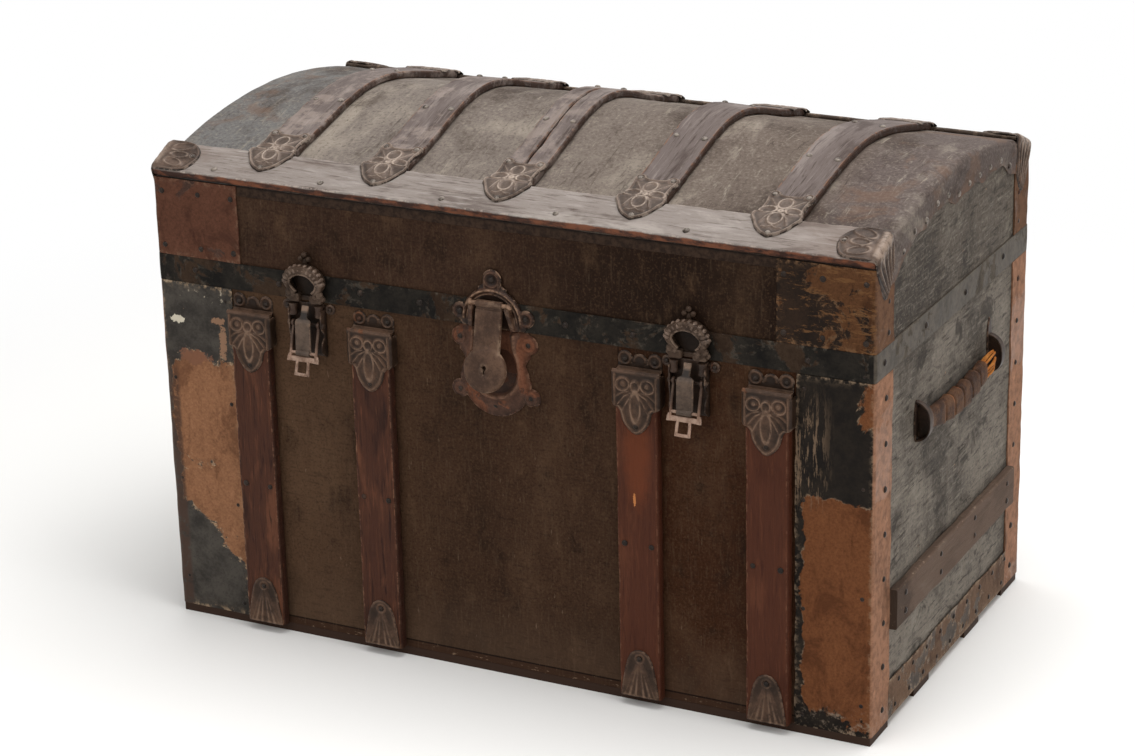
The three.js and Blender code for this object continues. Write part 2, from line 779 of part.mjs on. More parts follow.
function drawBolt(base, lid, side, x) {
  const onLid = group(lid, x, -frontFace - bandThickness - gap, 0);
  mesh(onLid, `draw_bolt_catch_${side}`, catchShape(), finish.brownIron);
  const onBase = group(base, x, -frontFace, baseHeight);
  mesh(onBase, `draw_bolt_base_${side}`, boltBaseShape(), finish.brownIron);
  const lever = mesh(onBase, `draw_bolt_lever_${side}`, leverShape(), finish.paleIron);
  lever.position.set(0, -boltPinDepth, -boltPinDrop);
  lever.rotation.x = -leverTilt;
  const [pinY, pinZ] = tonguePin();
  const tongue = mesh(onBase, `draw_bolt_tongue_${side}`, tongueShape(), finish.brownIron);
  tongue.position.set(0, pinY, pinZ);
}

// Lock

function lockLidPlateShape() {
  const thick = lockPlateThickness;
  const rimFace = -lockRimDepth;
  const archRod = (radius, face) => rodY(0, lockArchHeight, radius, face, 0, fineSides);
  const wide = 2 * lockArchRadius;
  const belowArch = block(-wide, wide, -wide, wide, -wide, lockArchHeight);
  const rim = cut(archRod(lockArchRadius, rimFace), archRod(lockArchRadius - lockRim, -wide), belowArch);
  const foot = block(-lockArchRadius, lockArchRadius, -thick, 0, 0, lockArchHeight);
  const ears = [-1, 1].map((side) => (
    rodY(side * lockEarSpread, lockEarHeight, lockEarRadius, -thick, 0, roundSides)
  ));
  const lobeFoot = lockArchHeight + lockArchRadius - lockRim;
  const lobe = [
    rodY(0, lockLobeHeight, lockLobeRadius, -thick, 0, roundSides),
    block(-lockLobeRadius, lockLobeRadius, -thick, 0, lobeFoot, lockLobeHeight),
  ];
  const lugs = [-1, 1].map((side) => {
    const x0 = Math.min(side * haspPinHalfLength, side * (haspPinHalfLength - haspLugWidth));
    const low = haspPinHeight - haspPinDepth;
    const high = haspPinHeight + haspPinRadius;
    return block(x0, x0 + haspLugWidth, -haspPinDepth - haspPinRadius, 0, low, high);
  });
  const half = haspPinHalfLength;
  const pin = rodX(-haspPinDepth, haspPinHeight, haspPinRadius, -half, half, coarseSides);
  const arch = cut(archRod(lockArchRadius, -thick), block(-wide, wide, -wide, wide, -wide, 0));
  const behind = block(-wide, wide, 0, wide, -wide, wide);
  return cut(join(arch, rim, foot, ...ears, ...lobe, ...lugs, pin), behind);
}

// The hasp, drawn flat and hanging from its pin at the origin, with the lock's box behind its disc
function haspShape() {
  const face = -haspThickness / 2;
  const back = haspThickness / 2;
  const discFace = back - haspDiscThickness;
  const knuckleRadius = haspPinRadius + pivotPlay + haspThickness / 2;
  const knuckleHalf = haspPinHalfLength - haspLugWidth - gap;
  const knuckle = rodX(0, 0, knuckleRadius, -haspHalfWidth, haspHalfWidth, roundSides);
  const bore = rodX(0, 0, haspPinRadius + pivotPlay, -knuckleHalf, knuckleHalf, roundSides);
  const shank = block(-haspHalfWidth, haspHalfWidth, face, back, -haspDiscDrop, 0);
  const disc = rodY(0, -haspDiscDrop, haspDiscRadius, discFace, back, fineSides);
  const reach = haspBossReach();
  const bossTop = haspBossHeight / 2 - haspDiscDrop;
  const half = haspBossHalfWidth;
  const boss = block(-half, half, 0, reach, bossTop - haspBossHeight, bossTop);
  const keyTop = -haspDiscDrop + keyholeRadius;
  const keyCut = [
    rodY(0, keyTop, keyholeRadius, -2 * haspDiscThickness, 0, coarseSides),
    block(-keyholeSlot / 2, keyholeSlot / 2, -2 * haspDiscThickness, 0, keyTop - keyholeLength, keyTop),
  ];
  return cut(join(shank, disc, knuckle, boss), bore, ...keyCut);
}

// How far the box behind the disc reaches, so that its upper edge rests on the lower plate
function haspBossReach() {
  const high = haspDiscDrop - haspBossHeight / 2;
  const standOff = haspPinDepth + bandThickness - lockPlateThickness;
  return (standOff + high * Math.sin(haspTilt)) / Math.cos(haspTilt);
}

function lockBasePlateShape() {
  const thick = lockPlateThickness;
  const spots = [
    [lowerEarSpread, lowerEarDrop, lowerEarRadius],
    [lowerFootSpread, lowerFootDrop, lowerFootRadius],
  ];
  const lobes = spots.flatMap(([x, drop, radius]) => [-1, 1].map((side) => (
    rodY(side * x, -drop, radius, -thick, 0, roundSides)
  )));
  const half = lowerPlateHalfWidth;
  const body = block(-half, half, -thick, 0, -lowerFootDrop, -gap);
  const bowl = rodY(0, lowerBowlRadius - lowerPlateHeight - gap, lowerBowlRadius, -thick, 0, fineSides);
  const face = -thick - ringHeight;
  const wide = 2 * half;
  const inner = ringRadius - ringWidth;
  const ring = cut(
    rodY(0, -ringDrop, ringRadius, face, 0, fineSides),
    rodY(0, -ringDrop, inner, -wide, wide, fineSides),
    block(-ringMouth / 2, ringMouth / 2, -wide, wide, -ringDrop, wide),
  );
  const walls = [-1, 1].map((side) => {
    const x0 = Math.min(side * (ringMouth / 2), side * (ringMouth / 2 + ringWidth));
    return block(x0, x0 + ringWidth, face, 0, -ringDrop + inner / 2, -gap);
  });
  const above = block(-wide, wide, -wide, wide, -gap, wide);
  return cut(join(body, bowl, ...lobes, ring, ...walls), above);
}

function lock(base, lid) {
  const onLid = group(lid, lockPlace, -frontFace - bandThickness - gap, 0);
  mesh(onLid, 'lock_lid_plate', lockLidPlateShape(), finish.brownIron);
  const hasp = mesh(onLid, 'lock_hasp', haspShape(), finish.brownIron);
  hasp.position.set(0, -haspPinDepth, haspPinHeight);
  hasp.rotation.x = -haspTilt;
  const onBase = group(base, lockPlace, -frontFace, baseHeight);
  mesh(onBase, 'lock_base_plate', lockBasePlateShape(), finish.rustedIron);
}

// Handles. The right end's are drawn, and a half turn gives the left end's

// The grip's middle line sags between its ends; the shares run from 0 at one end to 1 at the other
function gripShape() {
  const reach = handleSpan / 2 - gap;
  const at = (share) => -reach + 2 * reach * share;
  const swell = (share) => Math.sin(Math.PI * share);
  const line = (side, endSize, size, sag) => Array.from({ length: gripSteps + 1 }, (_, step) => {
    const share = step / gripSteps;
    const half = (endSize + (size - endSize) * swell(share)) / 2;
    return [at(share), side * half - sag * swell(share)];
  });
  const upper = line(1, gripEndWidth, gripWidth, gripSag);
  const lower = line(-1, gripEndWidth, gripWidth, gripSag).reverse();
  const sheet = alongX([...upper, ...lower], -gripThickness, gripThickness);
  const outer = line(1, gripEndThickness, gripThickness, 0);
  const inner = line(-1, gripEndThickness, gripThickness, 0).reverse();
  const plan = [...outer, ...inner].map(([y, x]) => [x, y]);
  const grip = common(sheet, alongZ(plan, -boxDepth, boxDepth));
  const pinReach = reach + gap + clipWidth;
  return join(grip, rodY(0, 0, handlePinRadius, -pinReach, pinReach, roundSides));
}

// A clip is a plate on the end board with an eye that holds one end of the handle's pin
function clipShape() {
  const half = clipWidth / 2;
  const plate = block(0, clipPlate, -half, half, -clipHeight / 2, clipHeight / 2);
  const eye = rodY(handlePinDepth, 0, clipRadius, -half, half, roundSides);
  const neck = block(0, handlePinDepth, -half, half, -clipRadius, clipRadius);
  const behind = block(-boxDepth, 0, -boxDepth, boxDepth, -boxDepth, boxDepth);
  const radius = handlePinRadius + pivotPlay;
  const hole = rodY(handlePinDepth, 0, radius, -half - overrun, half + overrun, roundSides);
  return cut(join(plate, eye, neck), hole, behind);
}

function handle(place, side) {
  const onEnd = group(place, endFace, 0, baseHeight - handleDrop);
  mesh(onEnd, `handle_${side}`, gripShape(), finish.leather).position.x = handlePinDepth;
  const clip = clipShape();
  const clipPlace = (handleSpan + clipWidth) / 2;
  mesh(onEnd, `handle_clip_${side}_a`, clip, finish.brownIron).position.y = -clipPlace;
  mesh(onEnd, `handle_clip_${side}_b`, clip, finish.brownIron).position.y = clipPlace;
}

// Hinges. Each group has its origin on the rear face at the parting, and +Y points outwards

const hingeAxisDepth = bandThickness + gap + hingeKnuckleRadius;

function knuckle(x0, x1, up) {
  const inset = up * hingeLeafInset;
  const reach = up * hingeWebHeight;
  const low = Math.min(inset, reach);
  const high = Math.max(inset, reach);
  const web = block(x0, x1, bandThickness + gap, hingeAxisDepth, low, high);
  return [rodX(hingeAxisDepth, 0, hingeKnuckleRadius, x0, x1, roundSides), web];
}

function lowerLeafShape() {
  const half = hingeLeafWidth / 2;
  const middle = hingeMiddleKnuckle / 2 + gap;
  const top = -hingeLeafInset;
  const leaf = block(-half, half, 0, hingeLeafThickness, -hingeLeafHeight, top);
  const pin = rodX(hingeAxisDepth, 0, hingePinRadius, -half, half, coarseSides);
  return join(leaf, ...knuckle(-half, -middle, -1), ...knuckle(middle, half, -1), pin);
}

function upperLeafShape() {
  const half = hingeLeafWidth / 2;
  const middle = hingeMiddleKnuckle / 2;
  const back = bandThickness + gap;
  const leaf = block(-half, half, back, back + hingeLeafThickness, hingeLeafInset, hingeLeafHeight);
  const radius = hingePinRadius + pivotPlay;
  const bore = rodX(hingeAxisDepth, 0, radius, -middle - overrun, middle + overrun, coarseSides);
  const clear = hingeKnuckleRadius + pivotPlay;
  const reliefs = [-1, 1].map((side) => {
    const x0 = Math.min(side * middle, side * (half + overrun));
    return rodX(hingeAxisDepth, 0, clear, x0, x0 + half + overrun - middle, roundSides);
  });
  return cut(join(leaf, ...knuckle(-middle, middle, 1)), bore, ...reliefs);
}

function hinges(base, lid) {
  const place = hingePlaceShare * boxLength;
  for (const [side, x] of [['left', -place], ['right', place]]) {
    const onBase = group(base, x, frontFace, baseHeight + gap / 2);
    mesh(onBase, `hinge_lower_leaf_${side}`, lowerLeafShape(), finish.blackIron);
    const onLid = group(lid, x, frontFace, -gap / 2);
    mesh(onLid, `hinge_upper_leaf_${side}`, upperLeafShape(), finish.blackIron);
  }
}

// The whole trunk

function trunk() {
  const whole = new THREE.Group();
  const base = group(whole, 0, 0, runnerHeight);
  const lid = group(whole, 0, 0, partingHeight + gap);
  runners(whole);
  baseBoards(base);
  baseCornerPlates(base);
  frontSlats(base);
  for (const [side, place] of [['right', base], ['left', halfTurn(base)]]) {
    endTrim(place, side);
    handle(place, side);
  }
  lidBoards(lid);
  domeTop(lid);
  rimBand(lid);
  longSlats(lid);
  domeSlats(lid);
  cornerIrons(lid);
  for (const [side, x] of Object.entries(drawBoltPlaces())) {
    drawBolt(base, lid, side, x);
  }
  lock(base, lid);
  hinges(base, lid);
  const bounds = new THREE.Box3().setFromObject(whole, true);
  whole.position.y = -(bounds.min.y + bounds.max.y) / 2;
  return whole;
}

export default trunk();
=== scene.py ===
# %% [markdown]
# # A dome top trunk
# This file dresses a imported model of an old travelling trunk: a pine box covered in painted canvas,
# with hardwood slats, stamped sheet iron, two draw bolts, a lock and leather handles. The model comes
# first and nothing in it is moved or resized. Each piece here is built to the places that it gives.

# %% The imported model
import sys

import json
import math

import bmesh
import bpy
import numpy as np
from mathutils import Matrix, Vector
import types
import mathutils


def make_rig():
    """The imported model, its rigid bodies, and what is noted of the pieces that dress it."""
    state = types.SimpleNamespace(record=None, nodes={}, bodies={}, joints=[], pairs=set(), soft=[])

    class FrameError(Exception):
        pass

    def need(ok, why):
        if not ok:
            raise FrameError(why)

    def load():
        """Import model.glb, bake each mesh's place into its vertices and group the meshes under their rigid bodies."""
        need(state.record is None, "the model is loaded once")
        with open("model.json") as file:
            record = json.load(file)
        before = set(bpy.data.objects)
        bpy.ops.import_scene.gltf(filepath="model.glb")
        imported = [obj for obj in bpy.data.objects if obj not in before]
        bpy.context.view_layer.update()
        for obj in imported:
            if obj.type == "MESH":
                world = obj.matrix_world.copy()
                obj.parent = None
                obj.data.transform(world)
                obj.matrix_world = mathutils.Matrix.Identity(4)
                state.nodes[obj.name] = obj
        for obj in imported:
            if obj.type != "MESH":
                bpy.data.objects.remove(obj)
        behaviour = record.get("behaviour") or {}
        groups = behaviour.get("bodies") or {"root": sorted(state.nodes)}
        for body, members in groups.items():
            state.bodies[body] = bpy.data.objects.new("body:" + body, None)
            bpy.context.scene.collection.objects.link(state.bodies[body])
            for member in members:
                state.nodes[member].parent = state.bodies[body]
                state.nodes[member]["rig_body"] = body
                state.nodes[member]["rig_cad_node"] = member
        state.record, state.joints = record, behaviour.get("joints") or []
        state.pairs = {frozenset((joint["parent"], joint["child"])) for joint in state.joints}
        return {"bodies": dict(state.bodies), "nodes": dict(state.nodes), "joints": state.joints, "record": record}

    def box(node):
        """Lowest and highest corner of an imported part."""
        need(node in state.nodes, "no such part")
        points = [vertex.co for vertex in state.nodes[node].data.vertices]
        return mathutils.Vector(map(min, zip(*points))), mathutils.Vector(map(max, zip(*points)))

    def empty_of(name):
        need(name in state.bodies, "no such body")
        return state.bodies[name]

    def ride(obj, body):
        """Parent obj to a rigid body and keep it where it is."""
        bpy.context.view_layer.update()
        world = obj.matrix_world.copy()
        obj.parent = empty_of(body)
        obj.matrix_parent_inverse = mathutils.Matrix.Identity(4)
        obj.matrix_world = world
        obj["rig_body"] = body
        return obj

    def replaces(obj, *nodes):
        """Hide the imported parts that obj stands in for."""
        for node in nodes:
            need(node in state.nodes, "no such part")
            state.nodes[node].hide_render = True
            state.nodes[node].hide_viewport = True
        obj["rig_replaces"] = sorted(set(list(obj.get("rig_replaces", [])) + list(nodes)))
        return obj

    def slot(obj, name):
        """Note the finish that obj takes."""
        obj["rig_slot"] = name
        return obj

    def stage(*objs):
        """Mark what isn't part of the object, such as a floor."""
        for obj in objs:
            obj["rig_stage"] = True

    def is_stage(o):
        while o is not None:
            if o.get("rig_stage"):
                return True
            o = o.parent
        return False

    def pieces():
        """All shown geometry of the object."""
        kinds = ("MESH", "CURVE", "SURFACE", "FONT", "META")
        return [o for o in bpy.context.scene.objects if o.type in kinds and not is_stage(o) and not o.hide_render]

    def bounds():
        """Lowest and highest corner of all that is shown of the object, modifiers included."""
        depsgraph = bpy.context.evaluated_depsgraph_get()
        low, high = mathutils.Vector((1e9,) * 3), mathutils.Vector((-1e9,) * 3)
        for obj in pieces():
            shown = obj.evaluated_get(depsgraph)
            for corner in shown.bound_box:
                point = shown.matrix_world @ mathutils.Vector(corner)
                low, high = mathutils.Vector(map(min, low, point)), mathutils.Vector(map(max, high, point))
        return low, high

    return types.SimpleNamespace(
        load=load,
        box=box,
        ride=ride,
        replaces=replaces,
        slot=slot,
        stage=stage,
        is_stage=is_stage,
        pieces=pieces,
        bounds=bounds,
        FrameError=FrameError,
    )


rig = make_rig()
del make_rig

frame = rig.load()
cad_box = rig.bounds()
print("nodes", len(frame["nodes"]), "bodies", len(frame["bodies"]))

# %% [markdown]
# ## Places
# A trunk maker works from the faces of the box: everything else is nailed to them. So the faces are read
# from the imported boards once, and every piece below takes its place from them. Lengths are in metres.

# %% The faces of the box
MM = 0.001
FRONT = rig.box("base_front_board")[0].y
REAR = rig.box("base_back_board")[1].y
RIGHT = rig.box("base_front_board")[1].x
BASE_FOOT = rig.box("base_front_board")[0].z
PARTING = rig.box("base_front_board")[1].z
LID_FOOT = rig.box("lid_front_board")[0].z
RIM_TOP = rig.box("lid_rim_band")[1].z
DOME_THICK = 10 * MM
WALL_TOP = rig.box("dome_top")[0].z + DOME_THICK
MIDDLE = (FRONT + REAR) / 2
HALF_DEPTH = (REAR - FRONT) / 2
FACET_RUN = 40 * MM
FACET_RISE = 18 * MM
BULGE = 20 * MM
BULGE_REACH = 140 * MM
FACET_LENGTH = math.hypot(FACET_RUN, FACET_RISE)
CROWN_EDGE = HALF_DEPTH - FACET_RUN
CROWN_RISE = 23.5 * MM
CROWN_RADIUS = (CROWN_EDGE ** 2 + CROWN_RISE ** 2) / (2 * CROWN_RISE)
print("front", round(FRONT, 4), "rear", round(REAR, 4), "crown rise", round(CROWN_RISE, 4))

# %% [markdown]
# ## Camera
# The photograph was taken from the right, a little over the lid, with a long lens. These are the camera's
# place, its direction as two angles, its small roll and the focal length that line the box up with it.

# %% Camera
CAMERA_PLACE = (1.32377, -2.65214, 1.35855)
CAMERA_AZIMUTH = math.radians(27.0375)
CAMERA_ELEVATION = math.radians(20.5874)
CAMERA_ROLL = math.radians(-1.3828)
FOCAL_PIXELS = 3116.72
PHOTO_WIDTH = 1135


def add_camera():
    """The camera, turned so that its own axes are right, up and back."""
    data = bpy.data.cameras.new("camera")
    data.sensor_width = 36
    data.lens = FOCAL_PIXELS / PHOTO_WIDTH * data.sensor_width
    camera = bpy.data.objects.new("camera", data)
    bpy.context.scene.collection.objects.link(camera)
    sin_a, cos_a = math.sin(CAMERA_AZIMUTH), math.cos(CAMERA_AZIMUTH)
    sin_e, cos_e = math.sin(CAMERA_ELEVATION), math.cos(CAMERA_ELEVATION)
    back = Vector((sin_a * cos_e, -cos_a * cos_e, sin_e))
    level = Vector((cos_a, sin_a, 0))
    upright = back.cross(level)
    right = level * math.cos(CAMERA_ROLL) + upright * math.sin(CAMERA_ROLL)
    up = upright * math.cos(CAMERA_ROLL) - level * math.sin(CAMERA_ROLL)
    turn = Matrix((right, up, back)).transposed().to_4x4()
    camera.matrix_world = Matrix.Translation(CAMERA_PLACE) @ turn
    bpy.context.scene.camera = camera
    return camera


print("lens", round(add_camera().data.lens, 2), "mm")

# %% [markdown]
# ## Light and floor
# The trunk stands on a pale floor in soft daylight from above. A wide lamp overhead gives that, and a
# weaker one stands off to each side. Far from the trunk the floor turns into plain white, and the world
# is white, only where the camera or a reflection sees them, so the pale background puts no extra light
# on the dark trunk and the floor near it keeps its shadow.

# %% Light, floor and world
LAMPS = {
    "lamp_over": {"place": (0.4, 0.2, 2.8), "aim": (0, 0, 0.4), "size": 2.3, "power": 96},
    "lamp_front": {"place": (-1.4, -3.2, 2.1), "aim": (0, -0.3, 0.15), "size": 2.6, "power": 40},
    "lamp_right": {"place": (3.2, -1.0, 1.9), "aim": (0, 0, 0.25), "size": 2.0, "power": 34},
}
WORLD_LEVEL = 0.36
FLOOR_COLOUR = (0.8, 0.79, 0.77, 1)
FLOOR_NEAR = 0.55
FLOOR_FAR = 1.5


def add_lamp(name, place, aim, size, power):
    """A square soft lamp that points from its place at its aim."""
    data = bpy.data.lights.new(name, "AREA")
    data.size = size
    data.energy = power
    lamp = bpy.data.objects.new(name, data)
    lamp.location = place
    lamp.rotation_euler = (Vector(aim) - Vector(place)).to_track_quat("-Z", "Y").to_euler()
    bpy.context.scene.collection.objects.link(lamp)


def seen_directly(tree):
    """1 where a ray comes from the camera, or by way of a mirror or glass, and 0 for the light itself."""
    path = tree.nodes.new("ShaderNodeLightPath")
    total = path.outputs["Is Camera Ray"]
    for other in ("Is Glossy Ray", "Is Transmission Ray"):
        most = tree.nodes.new("ShaderNodeMath")
        most.operation = "MAXIMUM"
        tree.links.new(total, most.inputs[0])
        tree.links.new(path.outputs[other], most.inputs[1])
        total = most.outputs[0]
    return total


def light_world():
    """A white world for the camera, and a dimmer one for what it lights."""
    world = bpy.data.worlds.new("world")
    bpy.context.scene.world = world
    world.use_nodes = True
    tree = world.node_tree
    tree.nodes.clear()
    output = tree.nodes.new("ShaderNodeOutputWorld")
    both = tree.nodes.new("ShaderNodeMixShader")
    levels = []
    for level in (WORLD_LEVEL, 1.0):
        ground = tree.nodes.new("ShaderNodeBackground")
        ground.inputs["Color"].default_value = (1, 1, 1, 1)
        ground.inputs["Strength"].default_value = level
        levels.append(ground)
    tree.links.new(seen_directly(tree), both.inputs[0])
    tree.links.new(levels[0].outputs[0], both.inputs[1])
    tree.links.new(levels[1].outputs[0], both.inputs[2])
    tree.links.new(both.outputs[0], output.inputs[0])


def floor_material():
    """Pale matt paint near the trunk, and plain white further off, where the camera sees it."""
    material = bpy.data.materials.new("floor_paint")
    material.use_nodes = True
    tree = material.node_tree
    paint = tree.nodes["Principled BSDF"]
    paint.inputs["Base Color"].default_value = FLOOR_COLOUR
    paint.inputs["Roughness"].default_value = 0.8
    white = tree.nodes.new("ShaderNodeEmission")
    place = tree.nodes.new("ShaderNodeTexCoord")
    reach = tree.nodes.new("ShaderNodeVectorMath")
    reach.operation = "LENGTH"
    tree.links.new(place.outputs["Object"], reach.inputs[0])
    far = tree.nodes.new("ShaderNodeMapRange")
    far.interpolation_type = "SMOOTHSTEP"
    far.inputs["From Min"].default_value = FLOOR_NEAR
    far.inputs["From Max"].default_value = FLOOR_FAR
    tree.links.new(reach.outputs["Value"], far.inputs["Value"])
    seen = tree.nodes.new("ShaderNodeMath")
    seen.operation = "MULTIPLY"
    tree.links.new(seen_directly(tree), seen.inputs[0])
    tree.links.new(far.outputs[0], seen.inputs[1])
    both = tree.nodes.new("ShaderNodeMixShader")
    tree.links.new(seen.outputs[0], both.inputs[0])
    tree.links.new(paint.outputs[0], both.inputs[1])
    tree.links.new(white.outputs[0], both.inputs[2])
    tree.links.new(both.outputs[0], tree.nodes["Material Output"].inputs[0])
    return material


def add_floor():
    """A floor wide enough to fill the camera's view."""
    grid = bmesh.new()
    bmesh.ops.create_grid(grid, x_segments=1, y_segments=1, size=30)
    data = bpy.data.meshes.new("floor")
    grid.to_mesh(data)
    grid.free()
    floor = bpy.data.objects.new("floor", data)
    bpy.context.scene.collection.objects.link(floor)
    data.materials.append(floor_material())
    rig.stage(floor)


for lamp_name, lamp in LAMPS.items():
    add_lamp(lamp_name, **lamp)
light_world()
add_floor()
bpy.context.scene.view_settings.view_transform = "Standard"
print("lamps", len(LAMPS))

# %% [markdown]
# ## A finish is a small program
# Each finish is a node tree. The class below gives each kind of node that the finishes use one short
# method, so that a recipe reads from the bare material up to its dirt. A value that is the same all over
# is set on the socket itself, and only what varies is linked.

# %% Finish
def paint(red, green, blue):
    """A colour given as it looks on a screen, from 0 to 255, as the linear colour that a shader takes."""
    shares = (level / 255 for level in (red, green, blue))
    return (*(share / 12.92 if share <= 0.04045 else ((share + 0.055) / 1.055) ** 2.4 for share in shares), 1)


class Field:
    """One value of a finish at every point. Arithmetic on it adds the nodes that work out the result."""

    def __init__(self, look, socket):
        self.look, self.socket = look, socket

    def math(self, operation, second=0.0):
        return self.look.node("ShaderNodeMath", {0: self, 1: second}, operation=operation)

    def __add__(self, other):
        return self.math("ADD", other)

    def __sub__(self, other):
        return self.math("SUBTRACT", other)

    def __mul__(self, other):
        return self.math("MULTIPLY", other)

    def __abs__(self):
        return self.math("ABSOLUTE")

    def span(self, low, high):
        """0 where the value is at low, 1 where it is at high, and a smooth ramp between."""
        return self.look.node("ShaderNodeMapRange", {"Value": self, "From Min": low, "From Max": high},
                              interpolation_type="SMOOTHSTEP")


class Finish:
    """A material being built, with a short method for each kind of node that it uses."""

    def __init__(self, name):
        self.material = bpy.data.materials.new(name)
        self.material.use_nodes = True
        self.nodes, self.links = self.material.node_tree.nodes, self.material.node_tree.links
        self.places = {}

    def put(self, socket, value):
        """Links a field to a socket, or sets it. Three numbers on a colour socket are a colour for `paint`."""
        if isinstance(value, Field):
            self.links.new(value.socket, socket)
        else:
            socket.default_value = paint(*value) if socket.type == "RGBA" and len(value) == 3 else value

    def node(self, kind, inputs, output=0, **settings):
        """One output of a new node with its settings, and with each input linked or set."""
        made = self.nodes.new(kind)
        for name, value in settings.items():
            setattr(made, name, value)
        for name, value in inputs.items():
            self.put(made.inputs[name], value)
        return Field(self, made.outputs[output])

    def place(self, run=(1, 1, 1), turn=(0, 0, 0), by="Object"):
        """The object's own coordinates or its UV map, in metres, stretched and turned."""
        if (run, turn, by) not in self.places:
            source = self.node("ShaderNodeTexCoord", {}, by)
            inputs = {"Vector": source, "Scale": run, "Rotation": turn}
            self.places[run, turn, by] = self.node("ShaderNodeMapping", inputs)
        return self.places[run, turn, by]

    def noise(self, scale, detail=4, rough=0.6, warp=0, run=(1, 1, 1), turn=(0, 0, 0), by="Object"):
        """Cloudy noise from 0 to 1."""
        return self.node("ShaderNodeTexNoise", {"Vector": self.place(run, turn, by), "Scale": scale, "Detail": detail,
                                                "Roughness": rough, "Distortion": warp})

    def attribute(self, name):
        """A number that the mesh carries at each point."""
        return self.node("ShaderNodeAttribute", {}, "Fac", attribute_name=name)

    def axis(self, name):
        """One coordinate, by its letter."""
        return self.node("ShaderNodeSeparateXYZ", {"Vector": self.place()}, name)

    def mix(self, share, first, second):
        """From one colour to another."""
        return self.node("ShaderNodeMix", {"Factor": share, 6: first, 7: second}, 2, data_type="RGBA")

    def over(self, colour, *rows):
        """Lays tones over a colour in turn. Each row is a tone, the mask that says where, and its strength."""
        for tone, mask, share in rows:
            colour = self.mix(mask * share, colour, tone)
        return colour

    def bump(self, *rows):
        """A normal that leans with height fields from 0 to 1, each so many millimetres deep."""
        normal = {}
        for height, depth in rows:
            inputs = {"Height": height, "Distance": depth * MM, "Strength": 1.0, **normal}
            normal = {"Normal": self.node("ShaderNodeBump", inputs)}
        return normal["Normal"]

    def done(self, colour, roughness, normal, specular):
        """Joins the finished values to the shader and gives the material."""
        shader = self.nodes["Principled BSDF"]
        for name, value in {"Base Color": colour, "Roughness": roughness, "Normal": normal,
                            "Specular IOR Level": specular}.items():
            self.put(shader.inputs[name], value)
        return self.material


print("a mid brown is", [round(level, 3) for level in paint(90, 62, 44)])

# %% [markdown]
# ## A mesh is collected from parts
# A stamped cap or a latch is several plain forms in one sheet of iron. Each form below comes as points and
# faces, with a UV map and two numbers at each point: how near it lies to an edge, where wood and iron wear
# bright, and how far its relief stands up, where dirt and painted shade don't stay. A collector puts them in one mesh.

# %% Collector
def add_numbers(data, **titled):
    """Stores one number at each point of a mesh, or the same one at all, under each title."""
    for title, values in titled.items():
        values = np.broadcast_to(values, len(data.vertices)).astype(np.float32)
        data.attributes.new(title, "FLOAT", "POINT").data.foreach_set("value", values)


def add_piece(name, data, body, node=None, slot=None):
    """An object for a finished mesh that rides on a body, in place of a node of the model."""
    piece = bpy.data.objects.new(name, data)
    bpy.context.scene.collection.objects.link(piece)
    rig.ride(piece, body)
    if node:
        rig.replaces(piece, node)
    if slot:
        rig.slot(piece, slot)


class Collector:
    """Gathers forms into one closed mesh that rides on a body of the frame."""

    def __init__(self):
        self.points, self.faces, self.uv, self.edge, self.relief, self.count = [], [], [], [], [], 0

    def add(self, points, faces, uv=None, edge=0.0, relief=0.5):
        """Adds one form. Faces are lists of indices into its own points."""
        points = np.asarray(points, float).reshape(-1, 3)
        self.points.append(points)
        self.faces.extend([[index + self.count for index in face] for face in faces])
        self.uv.append(points[:, :2] if uv is None else uv)
        self.edge.append(np.broadcast_to(edge, len(points)))
        self.relief.append(np.broadcast_to(relief, len(points)))
        self.count += len(points)
        return self

    def make(self, name, material, body, node, slot, smooth=40):
        """The piece, with outward faces, its two numbers, its UV map and its material."""
        data = bpy.data.meshes.new(name)
        data.from_pydata(np.concatenate(self.points).tolist(), [], self.faces)
        add_numbers(data, edge=np.concatenate(self.edge), relief=np.concatenate(self.relief))
        work = bmesh.new()
        work.from_mesh(data)
        bmesh.ops.recalc_face_normals(work, faces=work.faces)
        work.to_mesh(data)
        work.free()
        corner = np.zeros(len(data.loops), np.int32)
        data.loops.foreach_get("vertex_index", corner)
        layer = data.uv_layers.new(name="along")
        layer.data.foreach_set("uv", np.concatenate(self.uv)[corner].astype(np.float32).ravel())
        data.shade_smooth()
        data.set_sharp_from_angle(angle=math.radians(smooth))
        data.materials.append(material)
        add_piece(name, data, body, node, slot)


# %% [markdown]
# ## Sheets, rods and balls
# Most of a trunk is sheet or strip bent over an edge. `shell` closes a grid of outer points with a grid of
# inner ones. `swept` runs a section along a path, which makes rods, rings and straps. `ball` makes a
# squashed sphere for knobs. All three work on arrays of points, so a bend is one line of arithmetic.

# %% Forms
def shell(outer, inner):
    """Points and faces of a closed sheet between two grids of points of one shape."""
    count = outer[..., 0].size
    index = np.arange(count).reshape(outer.shape[:2])
    top = np.stack([index[:-1, :-1], index[1:, :-1], index[1:, 1:], index[:-1, 1:]], axis=-1).reshape(-1, 4)
    faces = [*top.tolist(), *(top[:, ::-1] + count).tolist()]
    loop = [int(spot) for spot in (*index[0, :], *index[1:, -1], *index[-1, -2::-1], *index[-2:0:-1, 0])]
    faces.extend([here, after, after + count, here + count] for here, after in zip(loop, loop[1:] + loop[:1]))
    return np.concatenate([outer.reshape(-1, 3), inner.reshape(-1, 3)]), faces


